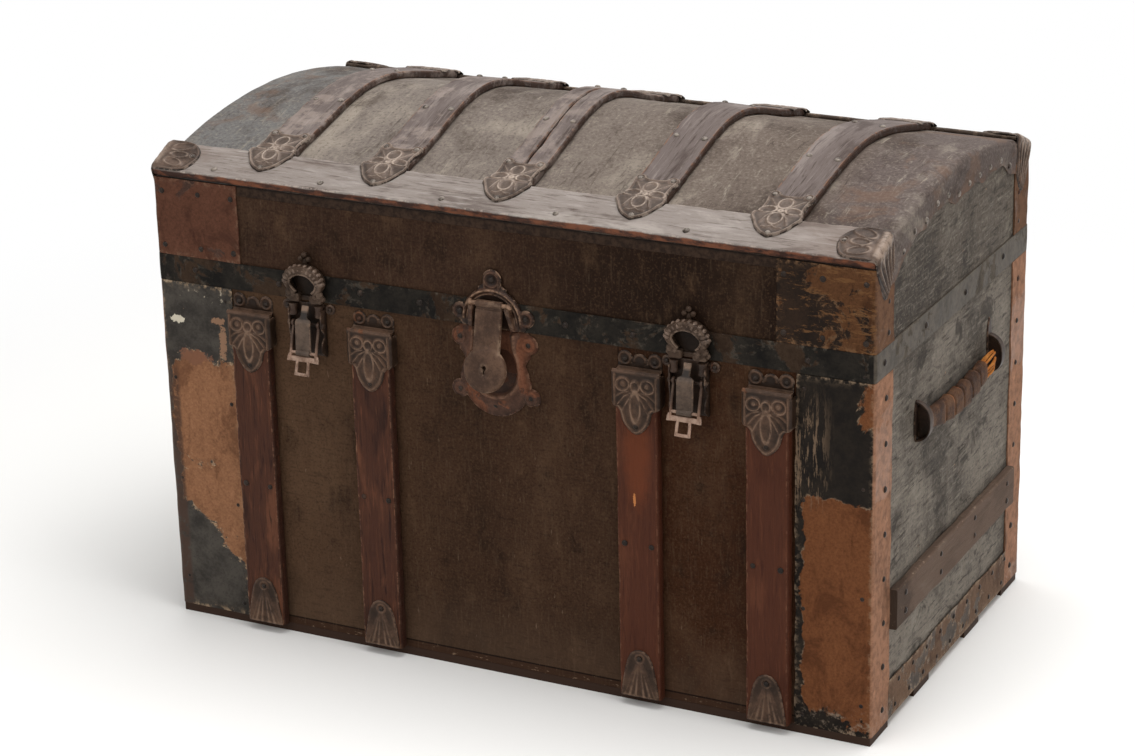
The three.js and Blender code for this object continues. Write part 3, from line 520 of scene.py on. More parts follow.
def tube_faces(count, size, closed=False):
    """The faces of a tube of so many rings of so many points, whose ends are capped or joined."""
    faces = [[ring * size + spot, ring * size + (spot + 1) % size, (ring + 1) % count * size + (spot + 1) % size,
              (ring + 1) % count * size + spot] for ring in range(count - 1 + closed) for spot in range(size)]
    return faces if closed else [*faces, list(range(size))[::-1], list(range((count - 1) * size, count * size))]


def swept(path, section, across, closed=False):
    """Runs a section of (side, out) pairs along a path; `across` is the direction of each section's side."""
    path = np.asarray(path, float)
    ahead = np.roll(path, -1, axis=0) - np.roll(path, 1, axis=0) if closed else np.gradient(path, axis=0)
    ahead = ahead / np.linalg.norm(ahead, axis=1, keepdims=True)
    out = np.cross(ahead, np.broadcast_to(np.asarray(across, float), path.shape))
    out = out / np.linalg.norm(out, axis=1, keepdims=True)
    side = np.cross(out, ahead)
    section = np.asarray(section, float)
    section = np.broadcast_to(section, (len(path), *section.shape[-2:]))
    rings = path[:, None] + side[:, None] * section[:, :, :1] + out[:, None] * section[:, :, 1:]
    return rings.reshape(-1, 3), tube_faces(*rings.shape[:2], closed)


def circle(count, start=0.0, end=2 * math.pi):
    """The cosines and sines of angles set evenly round a circle."""
    angle = np.linspace(start, end, count, endpoint=False)
    return np.stack([np.cos(angle), np.sin(angle)], axis=1)


def soft_section(width, thick, radius, flats=1):
    """A rectangular section with round corners, centred, whose wide sides are split, also near each corner."""
    points = []
    for side, up, start in ((1, 1, 0), (-1, 1, 90), (-1, -1, 180), (1, -1, 270)):
        for angle in (math.radians(start + 30 * step) for step in range(4)):
            points.append((side * (width / 2 - radius) + radius * math.cos(angle),
                           up * (thick / 2 - radius) + radius * math.sin(angle)))
        if start in (0, 180) and flats > 1:
            parts = (0.94, *(1 - 2 * cut / flats for cut in range(1, flats)), -0.94)
            points.extend((side * (width / 2 - radius) * part, up * thick / 2) for part in parts)
    return np.array(points)


def ball(centre, radii, turns=20, rings=10):
    """A sphere squashed to three radii."""
    points = [(0, 0, 1)]
    for lean in (math.pi * ring / rings for ring in range(1, rings)):
        for angle in (2 * math.pi * turn / turns for turn in range(turns)):
            points.append((math.sin(lean) * math.cos(angle), math.sin(lean) * math.sin(angle), math.cos(lean)))
    last = len(points)
    faces = []
    for turn in range(turns):
        beside = (turn + 1) % turns
        faces.extend([[0, 1 + turn, 1 + beside], [last, last - turns + beside, last - turns + turn]])
        for start in (1 + ring * turns for ring in range(rings - 2)):
            faces.append([start + turn, start + turns + turn, start + turns + beside, start + beside])
    return np.array([*points, (0, 0, -1)]) * np.asarray(radii, float) + np.asarray(centre, float), faces


def ripple(points, size, depth, seed=0):
    """Small smooth unevenness at each point, from sums of sines of one fixed set of directions."""
    chance = np.random.default_rng(seed)
    total = np.zeros(points.shape[:-1])
    for octave in (1, 2, 4):
        for _ in range(4):
            direction = chance.normal(size=3)
            direction *= 2 * math.pi * octave / (size * np.linalg.norm(direction))
            total += np.sin(points @ direction + chance.uniform(0, 2 * math.pi)) / (4 * octave)
    return depth * total


print("a rod's section has", len(circle(12)), "points")

# %% [markdown]
# ## Stamped iron
# A cap is cut from sheet iron and pressed between two dies, which gives it an outline and a relief. Here the
# outline is a field that says how deep inside the sheet a point lies, so shapes are joined by taking the
# larger field and cut by taking the smaller. A grid is laid over it, squares outside are dropped, and the
# border is pulled onto the outline. The relief then lifts the points, and a bend puts the flat sheet in place.

# %% Stamped sheets
def disc(u, v, place, radius):
    """Depth inside a disc."""
    return radius - np.hypot(u - place[0], v - place[1])


def slab(u, v, low, high, radius=0.0):
    """Depth inside a rectangle with round corners."""
    over_u, over_v = (np.abs(value - (a + b) / 2) - ((b - a) / 2 - radius) for value, a, b in zip((u, v), low, high))
    outside = np.hypot(np.maximum(over_u, 0), np.maximum(over_v, 0))
    return radius - outside - np.minimum(np.maximum(over_u, over_v), 0)


def from_line(u, v, start, end):
    """The distance from a straight line between two points."""
    (u0, v0), run, rise = start, end[0] - start[0], end[1] - start[1]
    share = np.clip(((u - u0) * run + (v - v0) * rise) / max(run * run + rise * rise, 1e-12), 0, 1)
    return np.hypot(u - u0 - share * run, v - v0 - share * rise)


def inside(outline):
    """The field of a closed outline of points."""
    def field(u, v):
        near, odd = np.full(np.shape(u), np.inf), np.zeros(np.shape(u), bool)
        for (u0, v0), (u1, v1) in zip(outline, np.roll(outline, -1, axis=0)):
            near = np.minimum(near, from_line(u, v, (u0, v0), (u1, v1)))
            if v1 != v0:
                odd ^= ((v0 > v) != (v1 > v)) & (u < u0 + (v - v0) * (u1 - u0) / (v1 - v0))
        return np.where(odd, near, -near)
    return field


def smoothed(points, steps=6):
    """A smooth closed curve through given points."""
    points = np.asarray(points, float)
    before, after, beyond = (np.roll(points, shift, axis=0) for shift in (1, -1, -2))
    share = np.linspace(0, 1, steps, endpoint=False)[:, None, None]
    curve = 0.5 * (2 * points + (after - before) * share + (2 * before - 5 * points + 4 * after - beyond) * share ** 2
                   + (3 * points - before - 3 * after + beyond) * share ** 3)
    return curve.transpose(1, 0, 2).reshape(-1, 2)


def mirrored(half):
    """A closed outline from its right half, given from its top to its bottom."""
    return np.array([*half, *((-u, v) for u, v in reversed(half) if abs(u) > 1e-9)], float)


def ridge(distance, width):
    """A raised line: 1 on it, falling off over its width."""
    return np.exp(-((distance / width) ** 2))


def stroke(u, v, points, width):
    """A raised line through given points."""
    return ridge(np.minimum.reduce([from_line(u, v, *ends) for ends in zip(points[:-1], points[1:])]), width)


def loop(u, v, centre, radii, width, turn=0.0):
    """A raised oval line."""
    turn = math.radians(turn)
    across = (u - centre[0]) * math.cos(turn) + (v - centre[1]) * math.sin(turn)
    up = (v - centre[1]) * math.cos(turn) - (u - centre[0]) * math.sin(turn)
    return ridge((np.hypot(across / radii[0], up / radii[1]) - 1) * min(radii), width)


def step_up(value, at, width):
    """A smooth step from 0 to 1 where a value passes a place; a negative width makes it a step down."""
    return 1 / (1 + np.exp(-(value - at) / width))


def rounded(depth, radius):
    """How far a pressed sheet's face drops towards its cut edge, from -1 at the edge to 0."""
    return np.sqrt(np.maximum(1 - (1 - np.clip(depth / radius, 0, 1)) ** 2, 0)) - 1


ON_LINE = 1e-9


def stamped(field, low, high, pitch, lift, bend, under=lambda u, v, depth: 0 * u):
    """Points, faces, UV map and numbers of a stamped sheet, which is worked out flat in millimetres.

    `field` gives the depth inside the outline, `lift` the height of the face and `under` that of the back,
    from u, v and that depth; `bend` turns u, v and a height, in metres, into a point of the trunk. The sheet
    is a grid whose cells are kept where their middles are inside, by more than ON_LINE."""
    axes = [a - pitch + pitch * np.arange(math.ceil((b - a) / pitch) + 3) for a, b in zip(low, high)]
    u, v = np.meshgrid(*axes, indexing="ij")
    keep = field(u[:-1, :-1] + pitch / 2, v[:-1, :-1] + pitch / 2) > ON_LINE
    uses = np.zeros(u.shape, int)
    for row, column in ((0, 0), (0, 1), (1, 0), (1, 1)):
        uses[row:u.shape[0] - 1 + row, column:u.shape[1] - 1 + column] += keep
    used, border = uses > 0, (uses > 0) & (uses < 4)
    step = pitch / 20
    for _ in range(4):
        depth = field(u[border], v[border])
        lean_u = (field(u[border] + step, v[border]) - depth) / step
        lean_v = (field(u[border], v[border] + step) - depth) / step
        length = np.maximum(np.hypot(lean_u, lean_v), 0.3)
        u[border] -= depth * lean_u / length ** 2
        v[border] -= depth * lean_v / length ** 2
    index, count = np.full(u.shape, -1), int(used.sum())
    index[used] = np.arange(count)
    corners = index[:-1, :-1], index[1:, :-1], index[1:, 1:], index[:-1, 1:]
    top = np.stack([corner[keep] for corner in corners], axis=1)
    sides = {}
    for face in top.tolist():
        for here, after in zip(face, face[1:] + face[:1]):
            if sides.pop((after, here), None) is None:
                sides[here, after] = True
    faces = [*top.tolist(), *(top[:, ::-1] + count).tolist(),
             *([after, here, here + count, after + count] for here, after in sides)]
    depth = np.where(border, 0, field(u, v))[used]
    u, v = u[used], v[used]
    height = lift(u, v, depth)
    points = np.concatenate([bend(u * MM, v * MM, rise * MM) for rise in (height, under(u, v, depth))])
    return {"points": points, "faces": faces, "uv": np.tile(np.stack([u, v], axis=1) * MM, (2, 1)),
            "edge": np.tile(np.exp(-np.maximum(depth, 0) / 1.2), 2),
            "relief": np.tile((height - height.min()) / max(float(np.ptp(height)), 1e-6), 2)}


print("a disc of 5 is", float(disc(2, 0, (0, 0), 5)), "deep at 2")

# %% [markdown]
# ## Painted canvas
# The box is covered in canvas, glued down and painted. A century of handling turns the paint brown, with
# darker clouds, thin runs and a few scratches. The weave still reads through it. The clouds come from noise
# stretched upright, the weave from two crossed sets of fine waves, and the scratches from noise with a high
# threshold, so that only its peaks show. Dusty paint has almost no gloss, so its specular level is low.

# %% Canvas
PINE, BARE_PINE = (178, 140, 96), (150, 112, 72)
SEAM = 125.6 * MM


def weave(look, *threads):
    """Two crossed sets of fine waves, each along an axis with a pitch in millimetres, as a height from 0 to 1."""
    first, second = ((look.axis(axis) * (2 * math.pi / (pitch * MM))).math("SINE") for axis, pitch in threads)
    return (first + second) * 0.25 + 0.5


def dirty(look, colour, dark, light, run, clouds=0.7, grain=420):
    """Clouds, stains and grit of a darker and a lighter tone over a colour, drawn out by `run`."""
    broad, stains, grit = look.noise(7, 6, 0.62, 0.4, run), look.noise(26, 5, 0.7, 0, run), look.noise(grain, 3, 0.7)
    return look.over(colour, (dark, broad.span(0.52, 0.34), clouds), (light, broad.span(0.54, 0.7), clouds),
                     (dark, stains.span(0.47, 0.3), 0.6), (light, stains.span(0.54, 0.74), 0.5),
                     (dark, grit.span(0.48, 0.34), 0.4), (light, grit.span(0.52, 0.68), 0.3)), stains


def blot(look, centre, reach, ragged=1.5, soft=0.1):
    """One ragged mark on the front, in millimetres: 1 inside an uneven oval round a place in X and Z, 0 outside."""
    field = (look.noise(0.7 / (min(reach) * MM), 5, 0.75) - 0.5) * (4 * ragged)
    for axis, middle, half in zip("XZ", centre, reach):
        away = (look.axis(axis) - middle * MM) * (1 / (half * MM))
        field = field + away * away
    return field.span(0.95 + soft, 0.95 - soft)


def pine_grain(look, along=(0.6, 9, 9)):
    """Long fibres of planed pine."""
    return look.noise(14, 6, 0.6, 0.5, along).span(0.4, 0.66)


def lined(look, colour, along=(0.6, 9, 9)):
    """Inside the box, bare pine shows in place of the paint."""
    deep = (abs(look.axis("Y") - MIDDLE) - HALF_DEPTH).math("MAXIMUM", abs(look.axis("X")) - RIGHT)
    return look.mix(deep.span(-1.5 * MM, -2.5 * MM), colour, look.mix(pine_grain(look, along), PINE, BARE_PINE))


def canvas_done(look, colour, stains, level):
    """The cloth's swell, weave and scratches, and its roughness. Its threads run level and upright."""
    scratch = look.noise(42, 3, 0.6, 0.3, (9, 9, 1.6), (0.1, 0.25, 0))
    flat, upright = (look.noise(44, 4, 0.7, 0, run).span(0.53, 0.68)
                     for run in ((1, 1, 9), {"X": (9, 1, 1), "Y": (1, 9, 1)}[level]))
    colour = look.over(colour, ((118, 98, 80), scratch.span(0.69, 0.74), 0.4),
                       ((134, 112, 90), look.noise(75, 5, 0.75).span(0.71, 0.75), 0.7),
                       ((20, 13, 9), flat, 0.3), ((104, 84, 66), upright, 0.14))
    normal = look.bump((look.noise(30, 4, 0.55), 1.3), (weave(look, (level, 1.1), ("Z", 1.1)), 0.2),
                       (look.noise(160, 4, 0.7), 0.35))
    return look.done(colour, stains * 0.3 + 0.5, normal, 0.05)


def front_canvas():
    """The dark brown canvas of the front, back and lid walls: olive at the left and redder at the right."""
    look = Finish("front_canvas")
    side, height = look.axis("X"), look.axis("Z")
    colour = look.mix(side.span(-0.26, -0.02), (74, 54, 39), (56, 38, 26))
    colour = look.mix(side.span(SEAM - 2 * MM, SEAM), colour, (52, 29, 15))
    lid = look.mix(side.span(-0.1, 0.2), (54, 37, 27), (31, 19, 12))
    colour = look.mix(height.span(RIM_TOP - 4 * MM, RIM_TOP), colour, lid)
    colour, stains = dirty(look, colour, (26, 15, 8), (90, 68, 50), (1, 1, 0.6), 0.35)
    foot = height.span(0.1, 0.01) * look.noise(22, 5, 0.7, 0, (1, 1, 0.4))
    ledge = look.mix(look.noise(90, 4, 0.7, 0, (1, 1, 4)).span(0.6, 0.66), (56, 37, 26), (128, 106, 86))
    seam = abs(side - SEAM).span(0.9 * MM, 0.3 * MM) * height.span(RIM_TOP, RIM_TOP - 4 * MM)
    colour = look.over(colour, ((84, 66, 52), foot, 0.8), (ledge, height.span(17 * MM, 16 * MM), 0.9),
                       ((14, 9, 6), abs(height - 17 * MM).span(1.3 * MM, 0.4 * MM), 0.9), ((20, 13, 8), seam, 0.8))
    return canvas_done(look, lined(look, colour), stains, "X")


def end_canvas():
    """The greyer canvas of the ends, rubbed pale with diagonal brush strokes."""
    look = Finish("end_canvas")
    colour = look.mix(look.axis("Z").span(0.33, 0.4), (113, 105, 96), (88, 80, 72))
    colour, stains = dirty(look, colour, (50, 45, 41), (136, 129, 118), (1, 1, 0.8), 0.75, 300)
    stroke = look.noise(46, 4, 0.7, 0.5, (1, 0.8, 7), (0.62, 0, 0))
    bruise = look.noise(26, 4, 0.65, 0.6, (1, 1, 1.7), (0.62, 0, 0))
    colour = look.over(colour, ((140, 132, 121), stroke.span(0.54, 0.7), 0.5),
                       ((46, 40, 36), stroke.span(0.46, 0.33), 0.8),
                       ((48, 43, 39), bruise.span(0.55, 0.66), 0.75),
                       ((166, 128, 96), look.noise(46, 5, 0.78).span(0.69, 0.73), 0.7))
    return canvas_done(look, lined(look, colour, (9, 0.6, 9)), stains, "Y")


def dome_cloth():
    """The top canvas: brown under grey dust, bluer at both ends and redder near the right one."""
    look = Finish("dome_cloth")
    side = look.axis("X")
    colour = look.mix(side.span(-0.2, 0.3), (106, 97, 90), (88, 77, 69))
    colour = look.mix(side.span(-0.25, -0.31), colour, (94, 92, 90))
    colour = look.mix(side.span(0.28, 0.32), colour, (80, 70, 66))
    colour, _ = dirty(look, colour, (50, 39, 32), (140, 130, 118), (1, 0.7, 1), 0.8, 300)
    stroke, spot = look.noise(26, 6, 0.72, 0.6, (6, 0.8, 1)), look.noise(60, 5, 0.72)
    rusty = abs(side).span(0.27, 0.33) * look.noise(15, 6, 0.7, 0.5).span(0.53, 0.64)
    worn = look.attribute("edge") * look.noise(70, 4, 0.7).span(0.4, 0.6)
    under = abs(look.axis("Y") - MIDDLE).span(HALF_DEPTH - 0.8 * MM, HALF_DEPTH - 0.4 * MM)
    wall = look.mix(look.noise(150, 4, 0.7).span(0.36, 0.64), (34, 23, 16), (56, 41, 31))
    # The top 3 mm of that strip, just under the long slat, is near black: a painted shadow.
    wall = look.mix(look.axis("Z").span(WALL_TOP - 3 * MM, WALL_TOP + 1 * MM), wall, (16, 11, 8))
    colour = look.over(colour, ((144, 135, 122), stroke.span(0.56, 0.72), 0.6),
                       ((46, 35, 28), stroke.span(0.44, 0.28), 0.8),
                       ((98, 74, 58), rusty, 0.45), ((58, 45, 37), spot.span(0.64, 0.7), 0.6),
                       ((188, 170, 142), look.noise(38, 5, 0.8).span(0.74, 0.77), 0.8), ((96, 72, 58), worn, 0.9),
                       (wall, under, 1.0))
    normal = look.bump((look.noise(26, 4, 0.6), 1.6), (weave(look, ("X", 1.2), ("Y", 1.2)), 0.2), (spot, 0.6))
    return look.done(colour, 0.7, normal, 0.1)


FRONT_CANVAS, END_CANVAS, DOME_CLOTH = front_canvas(), end_canvas(), dome_cloth()
print("canvas finishes", FRONT_CANVAS.name, END_CANVAS.name, DOME_CLOTH.name)

# %% [markdown]
# ## Hardwood slats
# Slats of ash or elm take the knocks. Their stain stays in the grain and wears off at the corners, where
# the edge number that each mesh carries says so. The grain runs along the slat, which is the first
# direction of its UV map, so one recipe serves upright, lengthwise and curved slats.

# %% Wood
def slat_wood(name, dark, middle, light, worn, wear=0.1, shine=0.45, contrast=0.6, extra=None, raw=(42, 22, 15)):
    """Stained wood with long grain, wear at its edges, a dark right flank of raw red wood and painted shade, and small
    dents.
    """
    look = Finish(name)
    fibre, fine, broad, scuff = (look.noise(*settings, run=(1, across, 1), by="UV") for across, *settings in (
        (14, 22, 7, 0.7, 0.6), (26, 60, 4, 0.7), (3, 9, 4, 0.6, 0.4), (5, 60, 5, 0.74)))
    chance = look.noise(110, 5, 0.72)
    # The last row gives the right flank, where the relief number is 1, the raw tone: raw red wood and painted shade.
    colour = look.over(middle, (light, broad.span(0.54, 0.68), contrast), (dark, broad.span(0.46, 0.34), contrast),
                       (light, fibre.span(0.53, 0.7), contrast), (dark, fibre.span(0.48, 0.33), contrast + 0.2),
                       (dark, fine.span(0.45, 0.3), contrast), (light, fine.span(0.58, 0.7), 0.4),
                       (worn, scuff.span(0.72, 0.76), 0.2),
                       (worn, look.attribute("edge") * chance.span(0.6 - wear, 0.72 - wear), 0.85),
                       (raw, look.attribute("relief").span(0.7, 0.9) * chance.span(0.3, 0.5), 0.88))
    if extra:
        colour = extra(look, colour)
    normal = look.bump((fibre, 0.5), (fine, 0.25), (look.noise(55, 4, 0.6), 0.4))
    return look.done(colour, fibre * 0.3 + shine, normal, 0.12)


def bare_edge(look, colour):
    """The long slats are worn to red wood along their lower edge."""
    ragged, stain = look.noise(60, 5, 0.7, 0, (0.5, 1, 1)), look.noise(11, 6, 0.7, 0.4, (0.35, 1, 1))
    red = look.mix(ragged.span(0.42, 0.6), (46, 25, 18), (112, 66, 44))
    height = look.axis("Z") - ragged * (5 * MM)
    return look.over(colour, ((98, 82, 73), stain.span(0.52, 0.66), 0.55),
                     ((168, 160, 152), stain.span(0.46, 0.34), 0.4),
                     ((104, 88, 79), look.axis("X").span(0.26, 0.36), 0.4),
                     (red, height.span(WALL_TOP + 6 * MM, WALL_TOP + 4.4 * MM), 0.95))


def red_slats(look, colour):
    """The two slats at the right keep more of their red stain, and the third has a bright new scar."""
    return look.over(colour, ((74, 34, 16), look.axis("X").span(0.05, 0.1), 0.45),
                     ((104, 52, 27), blot(look, (149, 262), (13, 50), 0.5, 0.85), 0.55),
                     ((190, 122, 70), blot(look, (145.5, 216), (1.5, 7), 1.1), 0.8))


def faded_slats(look, colour):
    """The bent slats at the left have faded more than those at the right."""
    patch = look.noise(34, 5, 0.7).span(0.46, 0.62)
    return look.over(colour, ((150, 136, 127), look.axis("X").span(0.1, -0.04) * patch, 0.4))


def dark_end(look, colour):
    """The end slats are black and chipped near the front, where the corner sheet rubbed them."""
    near = (look.axis("Y") - look.noise(50, 4, 0.7) * (60 * MM)).span(FRONT + 62 * MM, FRONT + 40 * MM)
    dark = look.mix(look.noise(120, 5, 0.75).span(0.6, 0.66), (44, 33, 26), (112, 90, 72))
    return look.over(colour, (dark, near, 0.6))


SLAT_WOOD = slat_wood("slat_wood", (34, 16, 9), (64, 36, 24), (98, 60, 41), (136, 100, 76), 0.12, contrast=0.75,
                      extra=red_slats)
GREY_WOOD = slat_wood("grey_wood", (72, 60, 54), (124, 115, 109), (156, 148, 142), (160, 146, 136), 0.12, 0.55, 0.65,
                      bare_edge)
# The last colour of DOME_WOOD is its right flank's: raw red wood and painted shade.
DOME_WOOD = slat_wood("dome_wood", (54, 42, 37), (90, 80, 76), (120, 110, 105), (122, 84, 60), 0.16, 0.5, 0.75,
                      faded_slats, (50, 34, 26))
REAR_WOOD = slat_wood("rear_wood", (42, 32, 26), (64, 53, 45), (86, 75, 66), (120, 102, 86))
END_WOOD = slat_wood("end_wood", (64, 49, 39), (88, 71, 60), (106, 92, 80), (130, 112, 96), 0.06, 0.6, 0.5, dark_end)
FIBRE = slat_wood("core_fibre", (84, 42, 14), (150, 88, 34), (186, 128, 62), (224, 184, 116), 0.2)
RUNNER_WOOD = slat_wood("runner_wood", (34, 24, 18), (52, 36, 27), (68, 50, 38), (98, 78, 60))
print("woods", SLAT_WOOD.name, GREY_WOOD.name, DOME_WOOD.name, END_WOOD.name)

# %% [markdown]
# ## Sheet iron
# The sheet was painted or tinned, and it rusts from its nails and edges outwards. So a patch of rust is
# noise with a threshold, its border is chipped bright, and paint stays between. A guide is a second field
# that says where a large patch lies. Relief rubs bright on its tops, and its hollows take a near-black tone,
# dirt and painted shade, which the relief number of each stamped mesh gives.

# %% Iron
def shaded(colour, *shares):
    """A colour made darker or lighter, by one share or by one each for red, green and blue."""
    return (*(min(level * share, 1) for level, share in zip(paint(*colour)[:3], shares * 3)), 1)


def iron(name, coat, shade, rust, bright, cover, shine=0.5, relief=0.0, wear=0.5, spread=9, chips=0.6, guide=None,
         extra=None, end_coat=None, gloss=0.14, sunk=0.46):
    """Old sheet iron: a coat of paint, rust over a share of it, chips at the border and bright edges."""
    look = Finish(name)
    broad = look.noise(spread, 7, 0.7, 0.5)
    if guide:
        broad = broad + guide(look)
    fine, specks, grain = look.noise(130, 5, 0.72), look.noise(45, 5, 0.75), look.noise(380, 4, 0.75)
    streak, patch = look.noise(90, 4, 0.7, 0, (1, 1, 0.3)), look.noise(26, 6, 0.72, 0.5, (1, 1, 0.7))
    deep, tan = shaded(rust, 0.42, 0.36, 0.34), shaded(rust, 1.6, 1.7, 1.8)
    tone = look.over(rust, (tan, grain.span(0.5, 0.66), 0.3), (deep, grain.span(0.5, 0.36), 0.4),
                     (deep, patch.span(0.5, 0.36), 0.65), (tan, patch.span(0.56, 0.7), 0.45),
                     (deep, streak.span(0.54, 0.7), 0.5), (deep, specks.span(0.6, 0.74), 0.5))
    colour = look.mix(look.noise(34, 5, 0.66).span(0.35, 0.65), shade, coat)
    colour = look.over(colour, (bright, specks.span(0.7, 0.74), 0.5), (shade, grain.span(0.5, 0.36), 0.5),
                       (coat, grain.span(0.5, 0.66), 0.4))
    limit = 1 - cover
    rusted = broad.span(limit - 0.01, limit + 0.03)
    border = broad.span(limit - 0.035, limit) * broad.span(limit + 0.045, limit)
    colour = look.over(look.mix(rusted, colour, tone), (bright, border * fine.span(0.48, 0.6), chips))
    # Hollows of the relief: a near-black tone, dirt and painted shade. Tops: rubbed bright.
    if relief:
        up = look.attribute("relief")
        colour = look.over(colour, (shaded(shade, 0.3), up.span(sunk, 0.3 * sunk), relief),
                           (bright, up.span(0.55, 0.9) * fine.span(0.34, 0.58), relief))
    worn = look.attribute("edge") * fine.span(0.62 - wear * 0.3, 0.75 - wear * 0.3)
    colour = look.over(colour, (bright, worn, 0.7))
    if end_coat:
        drips = look.noise(30, 5, 0.7, 0, (1, 1, 0.3)).span(0.5, 0.7)
        rubbed = look.mix(fine.span(0.34, 0.6), shaded(end_coat, 0.6), end_coat)
        rubbed = look.over(rubbed, (shade, drips, 0.5), (shaded(end_coat, 1.5), specks.span(0.6, 0.7), 0.6))
        colour = look.over(colour, (rubbed, abs(look.axis("X")).span(RIGHT - 1 * MM, RIGHT + 0.5 * MM), 0.95))
    if extra:
        colour = extra(look, colour, fine)
    normal = look.bump((look.noise(48, 3, 0.5), 0.7), (rusted * fine + fine * 0.3, 0.45))
    return look.done(colour, rusted * 0.3 + shine, normal, gloss)


def middle_patch(look):
    """The left plates are rusty in the middle of their height, and their lower border leans."""
    side, height = look.axis("X"), look.axis("Z")
    leaning = height + (side + 0.37) * 1.25
    return leaning.span(0.1, 0.18) * height.span(0.315, 0.262) * side.span(-0.383, -0.366) * 0.37 - 0.2


def left_marks(look, colour, fine):
    """The left plates' brown front edge, a cream chip, grit under the rim and tan scrapes beside the slat."""
    brown = look.axis("X").span(-0.366, -0.371) * look.axis("Z").span(0.29, 0.25)
    grit = look.axis("Z").span(0.335, 0.352) * fine.span(0.6, 0.66)
    marks = (((-364, 324), (8, 4), (206, 196, 176)), ((-312, 306), (4.4, 18), (142, 108, 84)),
             ((-317, 327), (8, 4), (142, 108, 84)), ((-345, 286), (17, 9), (112, 76, 58)))
    return look.over(colour, ((66, 48, 39), brown * fine.span(0.34, 0.5), 0.85), ((172, 160, 142), grit, 0.7),
                     *((tone, blot(look, centre, reach), 0.85) for centre, reach, tone in marks))


def flat_scrapes(look, colour, _):
    """Scrapes along the right lid plates, through the black down to tan."""
    reach = look.noise(46, 6, 0.78, 0.4, (1, 1, 5)) + look.axis("X").span(0.29, 0.37) * 0.05
    in_front = look.axis("Y").span(FRONT + 3 * MM, FRONT + 1 * MM)
    return look.over(colour, ((104, 72, 44), reach.span(0.57, 0.61) * in_front, 0.75),
                     ((160, 130, 96), reach.span(0.69, 0.72) * in_front, 0.7))


def lower_patch(look):
    """The right plates are rusty below, black above and black along the slat."""
    side, height = look.axis("X"), look.axis("Z")
    within = height.span(0.262, 0.232).math("MAXIMUM", side.span(0.33, 0.4) * height.span(0.28, 0.34))
    return within * 0.5 - 0.26 - (side.span(0.319, 0.307) * 0.3 + height.span(0.045, 0.018) * 0.25)


def scraped(look, colour, fine):
    """Upright scrapes through the black of the right plates, and pale grit at their foot."""
    height = look.axis("Z")
    zone = look.axis("X").span(0.346, 0.32) * (height.span(0.225, 0.25) * height.span(0.36, 0.31))
    lines = look.noise(34, 5, 0.75, 0, (9, 9, 1)).span(0.52, 0.58)
    foot = height.span(0.04, 0.022) * fine.span(0.52, 0.66)
    return look.over(colour, ((120, 98, 78), zone * lines, 0.75), ((128, 112, 98), foot, 0.6))


def right_rub(look):
    """The right lid plates are black towards the trunk's middle and rubbed to rust near the corner."""
    return look.axis("X").span(0.29, 0.38) * 0.2 - 0.1


def pale_on_top(look, colour, fine):
    """Nails on top of the lid are rubbed pale."""
    rubbed = look.mix(fine.span(0.38, 0.58), (58, 49, 43), (136, 126, 116))
    return look.over(colour, (rubbed, look.axis("Z").span(WALL_TOP - 3 * MM, WALL_TOP + 1 * MM), 0.8))


RIM_IRON = iron("rim_iron", (37, 33, 28), (17, 15, 13), (54, 41, 31), (92, 84, 74), 0.46, 0.42, wear=0.2,
                spread=17, chips=0.3, gloss=0.06, end_coat=(83, 75, 66))
CORNER_LEFT = iron("corner_left", (70, 65, 59), (44, 40, 36), (132, 92, 65), (176, 148, 118), 0.5, 0.42,
                   spread=22, chips=0.8, guide=middle_patch, extra=left_marks, gloss=0.1, end_coat=(118, 78, 56))
CORNER_RIGHT = iron("corner_right", (33, 27, 21), (18, 14, 11), (99, 60, 35), (142, 120, 98), 0.5, 0.4,
                    spread=22, guide=lower_patch, extra=scraped, gloss=0.08, end_coat=(144, 105, 82))
LID_LEFT = iron("lid_left", (66, 42, 32), (40, 26, 19), (80, 49, 35), (116, 88, 70), 0.55, spread=12, chips=0.15,
                end_coat=(96, 70, 54))
LID_RIGHT = iron("lid_right", (42, 29, 20), (22, 15, 10), (80, 52, 32), (120, 90, 64), 0.5, spread=30, gloss=0.08,
                 guide=right_rub, extra=flat_scrapes, end_coat=(100, 72, 54))
DARK_SHEET = iron("dark_sheet", (44, 37, 31), (28, 23, 19), (84, 56, 40), (120, 98, 82), 0.46, 0.42, spread=7)
FOOT_SHEET = iron("foot_sheet", (78, 66, 55), (42, 33, 27), (94, 72, 56), (146, 126, 106), 0.55, spread=16, wear=0.6)
CAP_IRON = iron("cap_iron", (84, 62, 48), (50, 36, 27), (96, 62, 42), (118, 94, 77), 0.38, 0.42, 0.85, chips=0.2)
CLAMP_IRON = iron("clamp_iron", (106, 91, 81), (64, 51, 43), (102, 80, 65), (152, 137, 124), 0.34, 0.45, 0.95,
                  chips=0.2, sunk=0.4)
LEAF_IRON = iron("leaf_iron", (92, 75, 64), (50, 38, 31), (94, 68, 53), (134, 117, 104), 0.36, 0.42, 0.95, chips=0.2)
LATCH_IRON = iron("latch_iron", (66, 51, 41), (34, 25, 19), (90, 60, 42), (118, 99, 85), 0.34, 0.38, 0.75, chips=0.2,
                  gloss=0.07)
STRAP_IRON = iron("strap_iron", (58, 42, 33), (32, 24, 19), (82, 50, 34), (112, 90, 74), 0.4, 0.4, chips=0.2)
PALE_IRON = iron("pale_iron", (142, 114, 97), (96, 72, 58), (112, 76, 56), (178, 152, 134), 0.26, 0.36, 0.85,
                 chips=0.3)
LOCK_IRON = iron("lock_iron", (72, 48, 36), (38, 24, 17), (100, 58, 34), (146, 116, 94), 0.4, 0.4, 0.8, chips=0.2)
